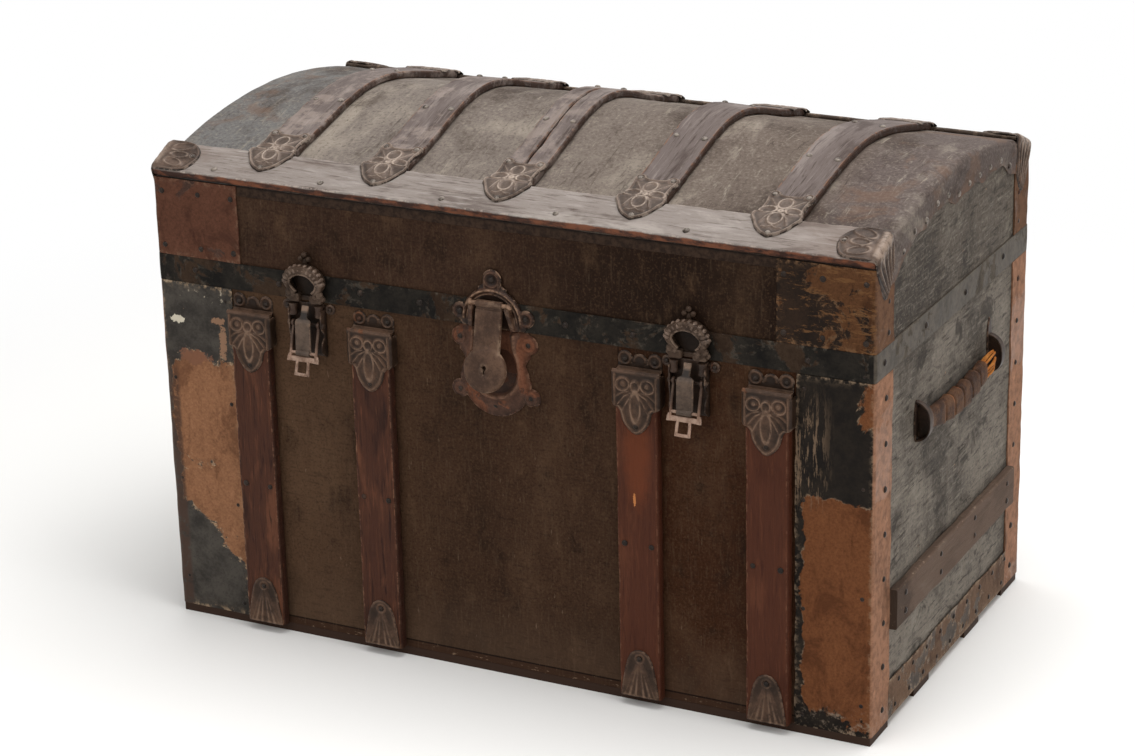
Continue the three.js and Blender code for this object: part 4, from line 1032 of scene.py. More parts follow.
NAIL_IRON = iron("nail_iron", (46, 35, 28), (24, 18, 14), (70, 47, 35), (108, 90, 77), 0.4, 0.32, wear=0.2, chips=0.1,
                 extra=pale_on_top)
BEAD_IRON = iron("bead_iron", (98, 80, 69), (58, 45, 36), (92, 68, 54), (122, 104, 91), 0.3, 0.36, 0.5, chips=0.1)
TONGUE_IRON = iron("tongue_iron", (84, 70, 60), (54, 43, 36), (88, 62, 46), (126, 103, 86), 0.3, 0.34, 0.9, chips=0.2)
LOCK_RUST = iron("lock_rust", (88, 61, 48), (58, 39, 30), (102, 64, 46), (130, 98, 78), 0.5, 0.42, 0.6, chips=0.05,
                 spread=26, gloss=0.1, sunk=0.36)
HASP_IRON = iron("hasp_iron", (90, 68, 54), (58, 42, 33), (98, 66, 47), (146, 122, 102), 0.4, 0.4, chips=0.2, gloss=0.1)
print("iron finishes", len([name for name in globals() if name.endswith(("IRON", "SHEET"))]))

# %% [markdown]
# ## Handle leather
# The grips are leather wrapped round a core in flat turns. It has dried to a greyish brown, orange where it
# tore, and it cracks across. Where the turns meet, shade is painted dark. The UV map gives the way along the grip.

# %% Leather
def handle_leather():
    """Dry brown leather with cracks across it, creases painted near black as shade, and raw orange edges."""
    look = Finish("handle_leather")
    broad, crack = look.noise(60, 5, 0.7), look.noise(46, 5, 0.74, run=(12, 3, 1), by="UV")
    colour = look.mix(broad.span(0.36, 0.62), (46, 28, 18), (84, 57, 38))
    raw = look.mix(broad.span(0.4, 0.6), (116, 62, 28), (160, 98, 52))
    # The last row paints near black where the relief number is low: painted shade in the creases and the torn hollow.
    colour = look.over(colour, ((116, 90, 70), crack.span(0.6, 0.7), 0.4), ((44, 28, 20), crack.span(0.42, 0.3), 0.8),
                       (raw, look.attribute("edge"), 0.9), ((18, 11, 8), look.attribute("relief").span(0.62, 0.2), 1.0))
    return look.done(colour, 0.62, look.bump((crack, 0.6), (look.noise(300, 3, 0.6), 0.25)), 0.12)


def pine_board():
    """Bare pine for the floor board."""
    look = Finish("pine_board")
    normal = look.bump((look.noise(14, 6, 0.6, 0, (0.6, 9, 9)), 0.4))
    return look.done(look.mix(pine_grain(look), BARE_PINE, PINE), 0.7, normal, 0.2)


LEATHER, PINE_BOARD = handle_leather(), pine_board()
print("leather and pine", LEATHER.name, PINE_BOARD.name)

# %% [markdown]
# ## Finishes on the parts that stay
# Boards, runners and hinges already have their real shape in the model, so they keep it.
# Only their finish is given here, by the node's name.

# %% Carried parts
KEPT = {
    FRONT_CANVAS: [f"{part}_{side}_board" for part in ("base", "lid") for side in ("front", "back")],
    END_CANVAS: [f"{part}_{side}_end_board" for part in ("base", "lid") for side in ("left", "right")],
    PINE_BOARD: ["base_floor_board"],
    RUNNER_WOOD: [f"runner_{place}" for place in ("front", "mid_front", "mid_rear", "rear")],
    DARK_SHEET: [f"hinge_{level}_leaf_{side}" for level in ("lower", "upper") for side in ("left", "right")],
}
for material, names in KEPT.items():
    for name in names:
        for slot in frame["nodes"][name].material_slots:
            slot.material = material
print("kept nodes", sum(len(names) for names in KEPT.values()))

# %% [markdown]
# ## Boards and bends
# A worn slat isn't a clean bar: its corners are rounded and broken, and its faces dip. `plank` sweeps a
# rectangle with round corners along the slat, then moves its corner points in by chance. `bent` rounds the
# corners of a folded line, which is how a flat stamping is wrapped over a slat.

# %% Planks and folded lines
def plank(path, width, thick, across, radius=1.7, chips=1.4, seed=1, flats=6, start=0.0):
    """A slat's points, faces, UV and worn edges, along the middle line of its thickness."""
    radius, chips = radius * MM, chips * MM
    section = soft_section(width, thick, radius, flats)
    near = [1 - (size / 2 - np.abs(values)) / (1.6 * radius) for size, values in zip((width, thick), section.T)]
    corner = np.clip((np.minimum(*near) - 0.2) / 0.5, 0, 1)
    along = start + np.concatenate([[0], np.cumsum(np.linalg.norm(np.diff(path, axis=0), axis=1))])
    spots = np.stack(np.broadcast_arrays(along[:, None], *(0.3 * section.T)), axis=-1)
    broken = np.maximum(ripple(spots, 30 * MM, 1.0, seed), 0) * corner[None]
    dips = ripple(spots, 90 * MM, 0.35 * MM, seed + 1)
    sections = np.stack([section[:, 0] * (1 - chips * broken / (width / 2) * 0.7),
                         section[:, 1] * (1 - chips * broken / (thick / 2) - np.abs(dips) / (thick / 2) * 0.5)], axis=-1)
    points, faces = swept(path, sections, across)
    side = np.cumsum(np.linalg.norm(np.diff(section, axis=0, prepend=section[-1:]), axis=1)) + seed * 0.31
    uv = np.stack([np.repeat(along, len(section)), np.tile(side, len(path))], axis=1)
    # The relief number is 1 on the right flank, which the finish paints dark: raw wood and painted shade.
    right = section[:, 0] * across[0] > width / 2 - 1.3 * MM
    return {"points": points, "faces": faces, "uv": uv, "edge": np.tile(corner, len(path)) + broken.ravel(),
            "relief": np.tile(np.where(right, 1.0, 0.5), len(path))}


def bent(corners, radius):
    """A function of distance along folded lines, whose corners are rounded: two places and two normals."""
    corners = np.asarray(corners, float)
    line = [corners[0]]
    for before, here, after in zip(corners[:-2], corners[1:-1], corners[2:]):
        back, ahead = ((point - here) / np.linalg.norm(point - here) for point in (before, after))
        half = math.acos(float(np.clip(back @ ahead, -1, 1))) / 2
        centre = here + (back + ahead) / np.linalg.norm(back + ahead) * radius / math.sin(half)
        first, last = (here + way * radius / math.tan(half) - centre for way in (back, ahead))
        for share in np.linspace(0, 1, 9):
            spoke = first * (1 - share) + last * share
            line.append(centre + spoke / np.linalg.norm(spoke) * radius)
    line = np.array([*line, corners[-1]])
    far = np.concatenate([[0], np.cumsum(np.linalg.norm(np.diff(line, axis=0), axis=1))])
    dense = np.linspace(0, far[-1], 600)
    place = np.stack([np.interp(dense, far, values) for values in line.T], axis=1)
    ahead = np.gradient(place, axis=0)
    ahead /= np.linalg.norm(ahead, axis=1, keepdims=True)

    def at(distance):
        a, b, ta, tb = (np.interp(distance, dense, values) for values in (*place.T, *ahead.T))
        return a, b, tb, -ta

    return at


print("a folded line turns", [round(float(x), 3) for x in bent([(0, 1), (0, 0), (1, 0)], 0.2)(1.0)])

# %% [markdown]
# ## Front slats
# Four slats of hardwood stand on the front. Each is 43 mm wide and 11 mm thick, so each is a plank swept
# up the wall. A dark gap shows at both sides, because an old slat has shrunk away from its paint.

# %% Front slats
SLATS = [sum(corner.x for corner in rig.box(f"front_slat_{number}")) / 2 for number in (1, 2, 3, 4)]
SLAT_WIDE = 43 * MM
SLAT_THICK = 11 * MM
SLAT_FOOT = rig.box("front_slat_1")[0].z
SLAT_TOP = PARTING - 20 * MM
NAILS = {"base": [], "lid": []}


def nail(body, place, outward, radius=2.6, height=1.3):
    """Notes a nail for the nail maker further down: where it is, which way it faces, and its head in millimetres."""
    NAILS[body].append((tuple(place), tuple(outward), (radius * MM, radius * MM, height * MM)))


def straight(count, x, y, z):
    """A line of points, from a number or an array for each axis."""
    return np.stack([np.broadcast_to(values, count) for values in (x, y, z)], axis=1).astype(float)


for number, x in enumerate(SLATS, 1):
    path = straight(90, x, FRONT - 0.3 * MM - SLAT_THICK / 2, np.linspace(SLAT_FOOT, SLAT_TOP, 90))
    slat = Collector().add(**plank(path, SLAT_WIDE, SLAT_THICK, (-1, 0, 0), seed=number, start=number * 0.7))
    slat.make(f"front_slat_{number}_wood", SLAT_WOOD, "base", f"front_slat_{number}", "hardwood")
print("front slats", [round(x, 4) for x in SLATS])

# %% [markdown]
# ## Caps and feet
# Each slat ends in a stamped cap, folded from the wall over the slat's end and down its face, with skirts
# round its sides. Two ringed ears and a small arch stand up on the wall. The face carries a raised rim, two
# scrolls, a stem and leaf veins. The foot is a plain bell with flutes. One field gives each outline.

# %% Caps and feet
SHELF = 11.4
CAP_OUTLINE = mirrored([(24.2, 3), (24.2, -33), (21.6, -34.6), (18.6, -35.6), (16.4, -38), (15.4, -42), (14.2, -47),
                        (11.6, -52), (8, -56.4), (4, -59.6), (0, -61)])
EAR = (15.4, SHELF + 8.6)


def cap_field(u, v):
    """The cap's outline, unfolded: v is 0 at the fold over the slat's front edge."""
    a = np.abs(u)
    return np.maximum.reduce([
        inside(CAP_OUTLINE)(u, v), slab(u, v, (-22.5, -1), (22.5, SHELF + 5.5), 0.5), disc(a, v, EAR, 7.6),
        disc(u, v, (0, SHELF + 6), 8.2), slab(a, v, (20, -32.5), (34.5, -1.5), 3)])


def cap_lift(u, v, depth):
    """The relief of a cap's face, its fold and its ears."""
    a = np.abs(u)
    face = step_up(v, -1.5, -0.5) * step_up(a, 22.6, -0.4)
    rim = np.maximum(ridge(depth - 2.4, 1.2) * (v < -33), ridge(a - 21.4, 1.1) * (v < -1.9) * (v > -34))
    scroll = np.maximum(loop(a, v, (12.8, -11.5), (7.0, 6.2), 1.1, -20),
                        0.9 * ridge(np.hypot(a - 12.2, v + 11.0) - 1.2, 1.5))
    veins = np.maximum.reduce([stroke(a, v, line, width) for line, width in (
        ([(4, -19), (11, -23), (18, -32)], 1.1), ([(3.4, -22), (8, -28), (13.4, -38)], 1.1),
        ([(7, -18), (14, -20), (20.4, -25)], 1.0))])
    # The shelf stands 1.3 up, which keeps its relief number high and its colour pale: painted light on its upward face.
    shelf = np.maximum(ridge(v, 1.1) * 0.9, 1.3 * step_up(v, 0.6, 0.3) * step_up(v, SHELF - 1.2, -0.3))
    pattern = np.maximum.reduce([rim, scroll, loop(a, v, (0, -12.5), (4.4, 5.0), 1.2),
                                 0.9 * loop(a, v, (0, -33), (5.2, 15), 1.2), 0.85 * veins])
    swell = 0.7 * np.exp(-((a / 13) ** 2) - (((v + 30) / 22) ** 2))
    ringed = ridge(np.hypot(a - EAR[0], v - EAR[1]) - 5.6, 0.9) * (v > 12)
    ringed = ringed + 0.6 * ridge(np.hypot(a, v - SHELF - 7) - 5.6, 0.9) * (v > 17)
    return 1.0 + face * (1.7 * pattern + swell) + shelf + 1.2 * ringed + 0.5 * rounded(depth, 0.7)


def cap_bend(x, out):
    """Folds the flat cap over the top of the slat at x, whose face is `out` proud of the wall."""
    line = bent([(0.3 * MM, 30 * MM), (0.3 * MM, 0), (out, 0), (out, -70 * MM)], 1.6 * MM)
    top = 30 * MM + out - 0.3 * MM - 0.86 * MM

    def bend(u, v, h):
        far = np.maximum(np.abs(u) - 22.6 * MM, 0)
        turn = np.minimum(far / (1.6 * MM), math.pi / 2) * (v < 0)
        sink = 1.6 * MM * (1 - np.cos(turn)) + np.maximum(far - 2.51 * MM, 0) * (v < 0)
        wide = np.where(v < 0, np.minimum(np.abs(u), 22.6 * MM) + 1.6 * MM * np.sin(turn), np.abs(u))
        a, b, na, nb = line(top - v)
        rise = h * np.cos(turn) - sink
        wave = ripple(np.stack([u + x, v, 0 * u], axis=-1), 24 * MM, 0.35 * MM, 5)
        return np.stack([x + np.sign(u) * (wide + h * np.sin(turn)),
                         FRONT - a - np.abs(na) * rise - wave * na * (v < -4 * MM),
                         SLAT_TOP + 0.2 * MM + b + nb * rise * np.sign(na + 1e-12)], axis=-1)

    return bend


FOOT_OUTLINE = mirrored([(19.6, 0), (19.6, 3), (18.6, 12), (16.8, 22), (15.2, 31), (13, 39), (9.4, 45.6), (4.6, 49),
                         (0, 50)])


def foot_lift(u, v, depth):
    """Flutes that fan down from the nail to the foot's lower edge."""
    a, fan = np.abs(u), (43 - v) / 43
    flutes = ridge(a - 4.5 * fan, 1.3) + ridge(a - 11 * fan, 1.4) + 0.6 * ridge(a - 16.5 * fan, 1.1)
    fade = np.clip((40 - v) / 12, 0, 1) * np.clip((v + 2) / 5, 0, 1)
    height = 0.9 + 0.7 * flutes * fade + 0.7 * ridge(np.hypot(a, v - 41) - 4.2, 1.0) + 0.35 * ridge(depth - 1.3, 0.9)
    return height + 0.5 * np.clip((30 - v) / 30, 0, 1) + 0.5 * rounded(depth, 0.7)


def flat_bend(x, y, z, seed=None):
    """Lays a flat sheet on a place of the front, with a slight warp if it has a seed."""
    def bend(u, v, h):
        flat = np.stack([u, v, 0 * u], axis=-1)
        warp = 0 if seed is None else np.abs(ripple(flat, 60 * MM, 0.3 * MM, seed)) * (h > 0)
        return np.stack([x + u, y - h - warp, z + v], axis=-1)
    return bend


SLAT_OUT = 11.5 * MM
OFF_LINE = 0.0001  # keeps a row of cells off the foot's straight side, in millimetres
for number, x in enumerate(SLATS, 1):
    face = FRONT - SLAT_OUT
    sheet = stamped(cap_field, (-35, -62), (35, 29), 0.75, cap_lift, cap_bend(x, SLAT_OUT))
    Collector().add(**sheet).make(f"slat_cap_{number}", CAP_IRON, "base", f"front_slat_{number}", "brown_iron")
    sheet = stamped(inside(FOOT_OUTLINE), (OFF_LINE - 20, 0), (20, 50), 0.8, foot_lift,
                    flat_bend(x, face, SLAT_FOOT + 0.3 * MM))
    Collector().add(**sheet).make(f"slat_foot_{number}", CAP_IRON, "base", f"front_slat_{number}", "brown_iron")
    for side in (-1, 1):
        nail("base", (x + side * EAR[0] * MM, FRONT - 1.2 * MM, SLAT_TOP + 8.8 * MM), (0, -1, 0), 2.9, 1.9)
    nail("base", (x, face - 1.0 * MM, SLAT_TOP - 52.5 * MM), (0, -1, 0), 2.7, 1.8)
    nail("base", (x, face - 1.0 * MM, SLAT_FOOT + 41 * MM), (0, -1, 0), 2.6, 1.6)
    for side in (-1, 1):
        nail("base", (x + side * 14 * MM, face, SLAT_FOOT + (152 if number == 1 else 160) * MM), (0, -1, 0), 2.9, 1.4)
print("caps and feet on", len(SLATS), "slats")

# %% [markdown]
# ## Slats of the lid
# Two long slats lie on the dome's flat front and rear edges, and five bent ones cross the crown between
# them. The bent ones follow the crown's arc, so their path is that arc lifted by half their thickness.

# %% Dome and long slats
DOME_SLATS = [sum(corner.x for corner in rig.box(f"dome_slat_{number}")) / 2 for number in (1, 2, 3, 4, 5)]
DOME_SLAT_THICK = 8 * MM
LONG_THICK = {-1: 9 * MM, 1: 4.5 * MM}
ALONG = np.array([FACET_RUN, FACET_RISE]) / FACET_LENGTH
OUT = np.array([-ALONG[1], ALONG[0]])
WAYS = {-1: "front", 1: "rear"}


def dome_bulge(x, y):
    """How much higher the dome stands at a place than at its ends: the old boards have bowed up."""
    share = np.clip(1 - (np.abs(x) / RIGHT) ** 2, 0, 1) ** 1.2
    return BULGE * share * (1 + np.cos(math.pi * np.clip(y / BULGE_REACH, -1, 1))) / 2


def dome_height(y, x=RIGHT):
    """The dome's outer height over the top of the walls at a distance y behind its middle."""
    facet = FACET_RISE * (HALF_DEPTH - np.abs(y)) / FACET_RUN
    crown = FACET_RISE + CROWN_RISE - CROWN_RADIUS + np.sqrt(np.maximum(CROWN_RADIUS ** 2 - y * y, 0))
    return np.where(np.abs(y) > CROWN_EDGE, facet, crown + dome_bulge(x, y))


def facet_spot(along, lift):
    """A place so far up the front facet and so far off it, as a distance behind the dome's middle and a height."""
    return -HALF_DEPTH + ALONG[0] * along + OUT[0] * lift, WALL_TOP + ALONG[1] * along + OUT[1] * lift


def facet_point(along, lift, side):
    """The same place on the front (-1) or rear (1) facet, as y and z."""
    across, z = facet_spot(along, lift)
    return MIDDLE - side * across, z


for side, name in WAYS.items():
    reach = RIGHT - 0.3 * MM
    y, z = facet_point(FACET_LENGTH / 2, 0.3 * MM + LONG_THICK[side] / 2, side)
    path = straight(150, np.linspace(-reach, reach, 150), y, z)
    across = (0, -side * ALONG[0], ALONG[1])
    slat = Collector().add(**plank(path, FACET_LENGTH - 0.3 * MM, LONG_THICK[side], across, seed=21 + side, flats=8))
    slat.make(f"long_slat_{name}_wood", GREY_WOOD if side < 0 else REAR_WOOD, "lid", f"long_slat_{name}", "worn_slat")
    for x in (-314, -193, -60, 61, 194):
        place = (x * MM, *facet_point(FACET_LENGTH * 0.23, LONG_THICK[side] + 0.3 * MM, side))
        nail("lid", place, (0, -side * OUT[0], OUT[1]), 3.3, 2.0)

for number, x in enumerate(DOME_SLATS, 1):
    reach = CROWN_EDGE - 0.5 * MM
    y = np.linspace(-reach, reach, 110)
    z = WALL_TOP + dome_height(y) + DOME_SLAT_THICK / 2 + 0.2 * MM
    slat = Collector()
    for low, high in (((-0.5, -0.045), (-0.005, 0.5)) if number == 3 else ((-0.5, 0.5),)):
        path = straight(110, x + (low + high) / 2 * SLAT_WIDE, MIDDLE + y, z)
        strip = plank(path, (high - low) * SLAT_WIDE, DOME_SLAT_THICK - 0.4 * MM, (1, 0, 0),
                      seed=30 + number * 2 + int(low * 4), start=number * 0.9)
        strip["points"][:, 2] += dome_bulge(strip["points"][:, 0], strip["points"][:, 1] - MIDDLE)
        slat.add(**strip)
    slat.make(f"dome_slat_{number}_wood", DOME_WOOD, "lid", f"dome_slat_{number}", "worn_slat")
    for across in (-0.062, 0.052):
        for spot in (x - 14.5 * MM, x + 14.5 * MM):
            low, high = (float(dome_height(across + step, spot)) for step in (-MM, MM))
            place = (spot, MIDDLE + across, WALL_TOP + (low + high) / 2 + DOME_SLAT_THICK + 0.1 * MM)
            nail("lid", place, (0, (low - high) / (2 * MM), 1), 3.1, 1.8)
print("lid slats", 2 + len(DOME_SLATS))

# %% [markdown]
# ## Slat clamps
# Where a dome slat meets a long slat, a stamped shield holds both: its upper end lies on the dome slat, it
# steps down at the crown's edge, and its point lies on the long slat. Four looped petals stand round a small
# disc, inside a raised rim.

# %% Slat clamps
CLAMP_OUTLINE = smoothed(mirrored([
    (0, 31.6), (6, 32), (10, 33.4), (13, 37.6), (17.6, 38.4), (21.6, 36.4), (23, 29), (21.2, 20), (21, 11), (22.4, 3),
    (25, -2), (25.2, -8), (22, -13), (18.8, -18.5), (15, -24), (9.4, -29), (4, -32), (0, -33.6)]), 3)
ON_LONG = {side: LONG_THICK[side] + 0.5 * MM for side in WAYS}
CLAMP_SHARE = {-1: 1, 1: 0.45}


def clamp_lift(u, v, depth):
    """Four looped petals round a disc, in a raised rim."""
    a = np.abs(u)
    pattern = [ridge(depth - 1.9, 1.1), loop(a, v, (0, 17), (6.6, 8.6), 1.3),
               loop(a, v, (12.6, 4.6), (8.2, 5.4), 1.3, -14), loop(a, v, (0, -9.4), (6.8, 8), 1.3),
               1.2 * ridge(np.hypot(a, v - 4) - 1.8, 1.8), 0.8 * stroke(a, v, [(4, 8), (10, 15), (17, 24)], 1.1),
               0.8 * stroke(a, v, [(4, 0), (10, -8), (13, -16)], 1.1),
               0.8 * stroke(a, v, [(0, -19), (5, -22), (9, -21)], 1.0),
               0.7 * ridge(np.hypot(a - 17, v - 32) - 4.2, 1.1)]
    return 0.9 + 1.7 * np.maximum.reduce(pattern) + 0.4 * np.clip(depth / 9, 0, 1) + 0.5 * rounded(depth, 0.7)


def clamp_bend(x, side):
    """Lays the flat clamp over the end of the dome slat at x, at the front (-1) or the rear (1)."""
    crown = [CROWN_EDGE - 46 * MM + step * 46 * MM / 6 for step in range(7)]
    line = [(-y, WALL_TOP + float(dome_height(y, x)) + DOME_SLAT_THICK + 0.1 * MM) for y in crown]
    start = sum(math.dist(a, b) for a, b in zip(line, line[1:]))
    line.extend(facet_spot(along, ON_LONG[side]) for along in (FACET_LENGTH if side < 0 else FACET_LENGTH - 9 * MM, 0))
    at = bent(line, 1.2 * MM)

    def bend(u, v, h):
        a, b, na, nb = at(start - v)
        h = h - np.maximum(np.abs(u) - 20.5 * MM, 0) ** 2 / (5.2 * MM) * (v > -1 * MM)
        return np.stack([x - side * u, MIDDLE - side * (a + na * h), b + nb * h], axis=-1)

    return bend


def nail_on(body, bend, u, v, lift, radius, height):
    """A nail on a bent sheet, at a place of the flat sheet in millimetres, facing out of it."""
    here, above = (bend(*(np.float64(value * MM) for value in (u, v, rise))) for rise in (lift, lift + 1))
    nail(body, here, (above - here) / MM, radius, height)


for number, x in enumerate(DOME_SLATS, 1):
    for side, name in WAYS.items():
        bend, share = clamp_bend(x, side), CLAMP_SHARE[side]
        sheet = stamped(inside(CLAMP_OUTLINE), (-26, -34), (26, 39), 0.8,
                        lambda u, v, depth: share * clamp_lift(u, v, depth), bend)
        piece, node = f"slat_clamp_{name}_{number}", f"dome_slat_{number}"
        Collector().add(**sheet).make(piece, CLAMP_IRON, "lid", node, "brown_iron")
        for u, v in ((-17, 32), (17, 32), (0, -28.4)):
            nail_on("lid", bend, u, v, 1.4 * share, 2.8, 1.9 * share)
print("clamps", 2 * len(DOME_SLATS))

# %% [markdown]
# ## The dome
# The dome is a curved board with canvas glued over it, and the canvas is folded down over both ends and
# nailed along an uneven line. One grid of points makes it: across the trunk it follows the facets and the
# crown, and along the trunk it bends over the ends. The inner grid is 10 mm under it, and outside the end
# boards it comes up close behind the fold.

# %% Dome
FOLD_OUT = RIGHT + 1.3 * MM
FOLD_RADIUS = 6 * MM


def fold_depth(y, end):
    """How far down the end the canvas is folded, which was cut by eye."""
    return (31 + 4.0 * np.sin(y * 31 + end) + 2.6 * np.sin(y * 74 + 2 * end) + 1.5 * np.sin(y * 151 + 3 * end)) * MM


def dome_down(y):
    """The direction of the folded canvas down the end, which leans towards the trunk's middle."""
    lean = -0.42 * y / HALF_DEPTH
    return lean / np.hypot(lean, 1), -1 / np.hypot(lean, 1)


def dome_half(y, end):
    """The outer and inner grids of one half, from the middle to the cut edge of the fold."""
    at = bent([(0, 0), (FOLD_OUT, 0), (FOLD_OUT, -60 * MM)], FOLD_RADIUS)
    turned = FOLD_OUT - (2 - math.pi / 2) * FOLD_RADIUS + FOLD_RADIUS
    share = np.concatenate([np.zeros(71), np.linspace(0, 1, 15)[1:]])[:, None]
    start = np.concatenate([np.linspace(0, FOLD_OUT - FOLD_RADIUS, 60), np.linspace(FOLD_OUT - FOLD_RADIUS, turned, 12)[1:],
                            np.full(14, turned)])[:, None]
    down = share > 0
    x, depth, _, _ = at(start + share * (fold_depth(y, end) - FOLD_RADIUS))
    depth = -depth
    dy, dz = dome_down(y)
    swell = ripple(np.stack([x * end, y + 0 * x, depth], axis=-1), 70 * MM, 0.5 * MM, 8)
    swell = swell * np.where(np.abs(y) < CROWN_EDGE, 1, 0.2)
    z = WALL_TOP + dome_height(y, x)
    deep = np.maximum(depth, DOME_THICK)
    return (np.stack([end * (x + (swell + 0.6 * MM) * down), MIDDLE + y + dy * depth,
                      z + dz * depth + swell * ~down], axis=-1),
            np.stack([end * np.minimum(x, RIGHT + 0.15 * MM), MIDDLE + y + dy * deep * down,
                      z + np.where(down, dz, -1) * deep],
                     axis=-1))


def dome_shell():
    """The dome's covered board with its folds."""
    y = np.concatenate([np.linspace(-HALF_DEPTH, -CROWN_EDGE, 12)[:-1], np.linspace(-CROWN_EDGE, CROWN_EDGE, 110),
                        np.linspace(CROWN_EDGE, HALF_DEPTH, 12)[1:]])
    outer, under = (np.concatenate([left[:0:-1], right]) for left, right in zip(dome_half(y, -1), dome_half(y, 1)))
    points, faces = shell(outer, under)
    row = np.arange(len(outer))
    rim = np.exp(-np.minimum(row, row[::-1]) / 2.5)
    return {"points": points, "faces": faces, "uv": np.tile(outer[..., :2].reshape(-1, 2), (2, 1)),
            "edge": np.tile(np.repeat(rim, len(y)), 2)}


Collector().add(**dome_shell()).make("dome_shell", DOME_CLOTH, "lid", "dome_top", "dome_canvas")
for end in (-1, 1):
    for y in np.linspace(-CROWN_EDGE + 16 * MM, CROWN_EDGE - 16 * MM, 11):
        deep = float(fold_depth(y, end)) - 7 * MM
        dy, dz = dome_down(y)
        place = (end * (FOLD_OUT + 0.6 * MM), MIDDLE + y + dy * deep, WALL_TOP + float(dome_height(y)) + dz * deep)
        nail("lid", place, (end, 0, 0), 3.2, 1.8)
print("dome from", round(WALL_TOP, 4), "to", round(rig.box("dome_top")[1].z, 4))

# %% [markdown]
# ## Corner plates, rim band and foot bands
# Thin sheet wraps each upright corner, a band runs round the lid's lower edge, and another along the foot
# of each end. Sheet this thin never lies quite flat: its edges wave between the nails. Each is one section
# swept along its own line, so the waves and the rounded corners come with the sweep.

# %% Wrapped sheets
def corner_sheet(sign_x, sign_y, reach, low, high, seed):
    """A sheet round a corner between two heights, with wavy edges and small dents."""
    out, radius, wrap = 0.3 * MM, 2.2 * MM, 42 * MM
    corner = (RIGHT + out, HALF_DEPTH + out)
    far = np.linspace(0, reach + wrap + 2 * out - (2 - math.pi / 2) * radius, 70)
    x, y, nx, ny = bent([(RIGHT - reach, corner[1]), corner, (corner[0], HALF_DEPTH - wrap)], radius)(far)
    flip = np.where(nx + ny < 0, -1, 1)
    columns = (sign_x * x, MIDDLE + sign_y * y, sign_x * nx * flip, sign_y * ny * flip, far)
    x, y, nx, ny, far, z = np.broadcast_arrays(*(values[:, None] for values in columns),
                                               np.linspace(low, high, max(int((high - low) / (4 * MM)), 8)))
    spot, normal, tangent = (np.stack(parts, axis=-1) for parts in ((x, y, z), (nx, ny, 0 * z), (-ny, nx, 0 * z)))
    ends = np.minimum(far, far[-1, 0] - far)
    dent = np.abs(ripple(spot, 60 * MM, 0.7 * MM, seed)) + 0.05 * MM
    curl = 0.6 * MM * np.exp(-ends / (3 * MM)) * (0.5 + 0.5 * np.sin(z * 90 + seed))
    wave = ripple(spot * np.array([0, 0, 1]), 45 * MM, 1.2 * MM, seed + 3) * np.exp(-ends / (6 * MM))
    inner = spot + normal * 0.02 * MM + tangent * wave[..., None]
    points, faces = shell(inner + normal * (0.9 * MM + dent + curl)[..., None], inner)
    edge = np.exp(-np.minimum(ends, np.minimum(z - low, high - z)) / (2.2 * MM))
    edge = np.maximum(edge, 0.8 * ridge(far - (reach + 0.3 * MM), 2.4 * MM))
    return {"points": points, "faces": faces, "uv": np.tile(np.stack([far, z], axis=-1).reshape(-1, 2), (2, 1)),
            "edge": np.tile(edge.ravel(), 2)}


REACH = {(-1, -1): 82.2 * MM, (1, -1): 75.8 * MM, (-1, 1): 82 * MM, (1, 1): 82 * MM}
SIDES = {-1: "left", 1: "right"}
PLATE_TOP = PARTING - 0.3 * MM
for (sign_x, sign_y), reach in REACH.items():
    name = f"{WAYS[sign_y]}_{SIDES[sign_x]}"
    sheet = corner_sheet(sign_x, sign_y, reach, BASE_FOOT, PLATE_TOP, 5 + sign_x + 3 * sign_y)
    coat = CORNER_LEFT if sign_x < 0 else CORNER_RIGHT
    Collector().add(**sheet).make(f"corner_plate_{name}", coat, "base", f"base_corner_plate_{name}", "rusted_iron")
    face = MIDDLE + sign_y * (HALF_DEPTH + 1.2 * MM)
    for height in np.linspace(BASE_FOOT + 18 * MM, PLATE_TOP - 22 * MM, 8):
        place = (sign_x * (RIGHT + 1.4 * MM), MIDDLE + sign_y * (HALF_DEPTH - 26 * MM), height)
        nail("base", place, (sign_x, 0, 0), 3.1, 1.9)
    for height in np.linspace(BASE_FOOT + 12 * MM, PLATE_TOP - 14 * MM, 4):
        nail("base", (sign_x * (RIGHT - reach + 8 * MM), face, height), (0, sign_y, 0), 2.2, 1.0)
        nail("base", (sign_x * (RIGHT - 9 * MM), face, height + 20 * MM), (0, sign_y, 0), 2.2, 1.0)
print("corner plates", len(REACH))

# %% [markdown]
# ## Rim band
# An iron band runs round the lid just over the parting and ties its boards together. A band is the same all
# along, so one thin section is swept round the box, and its wear is left to the finish.

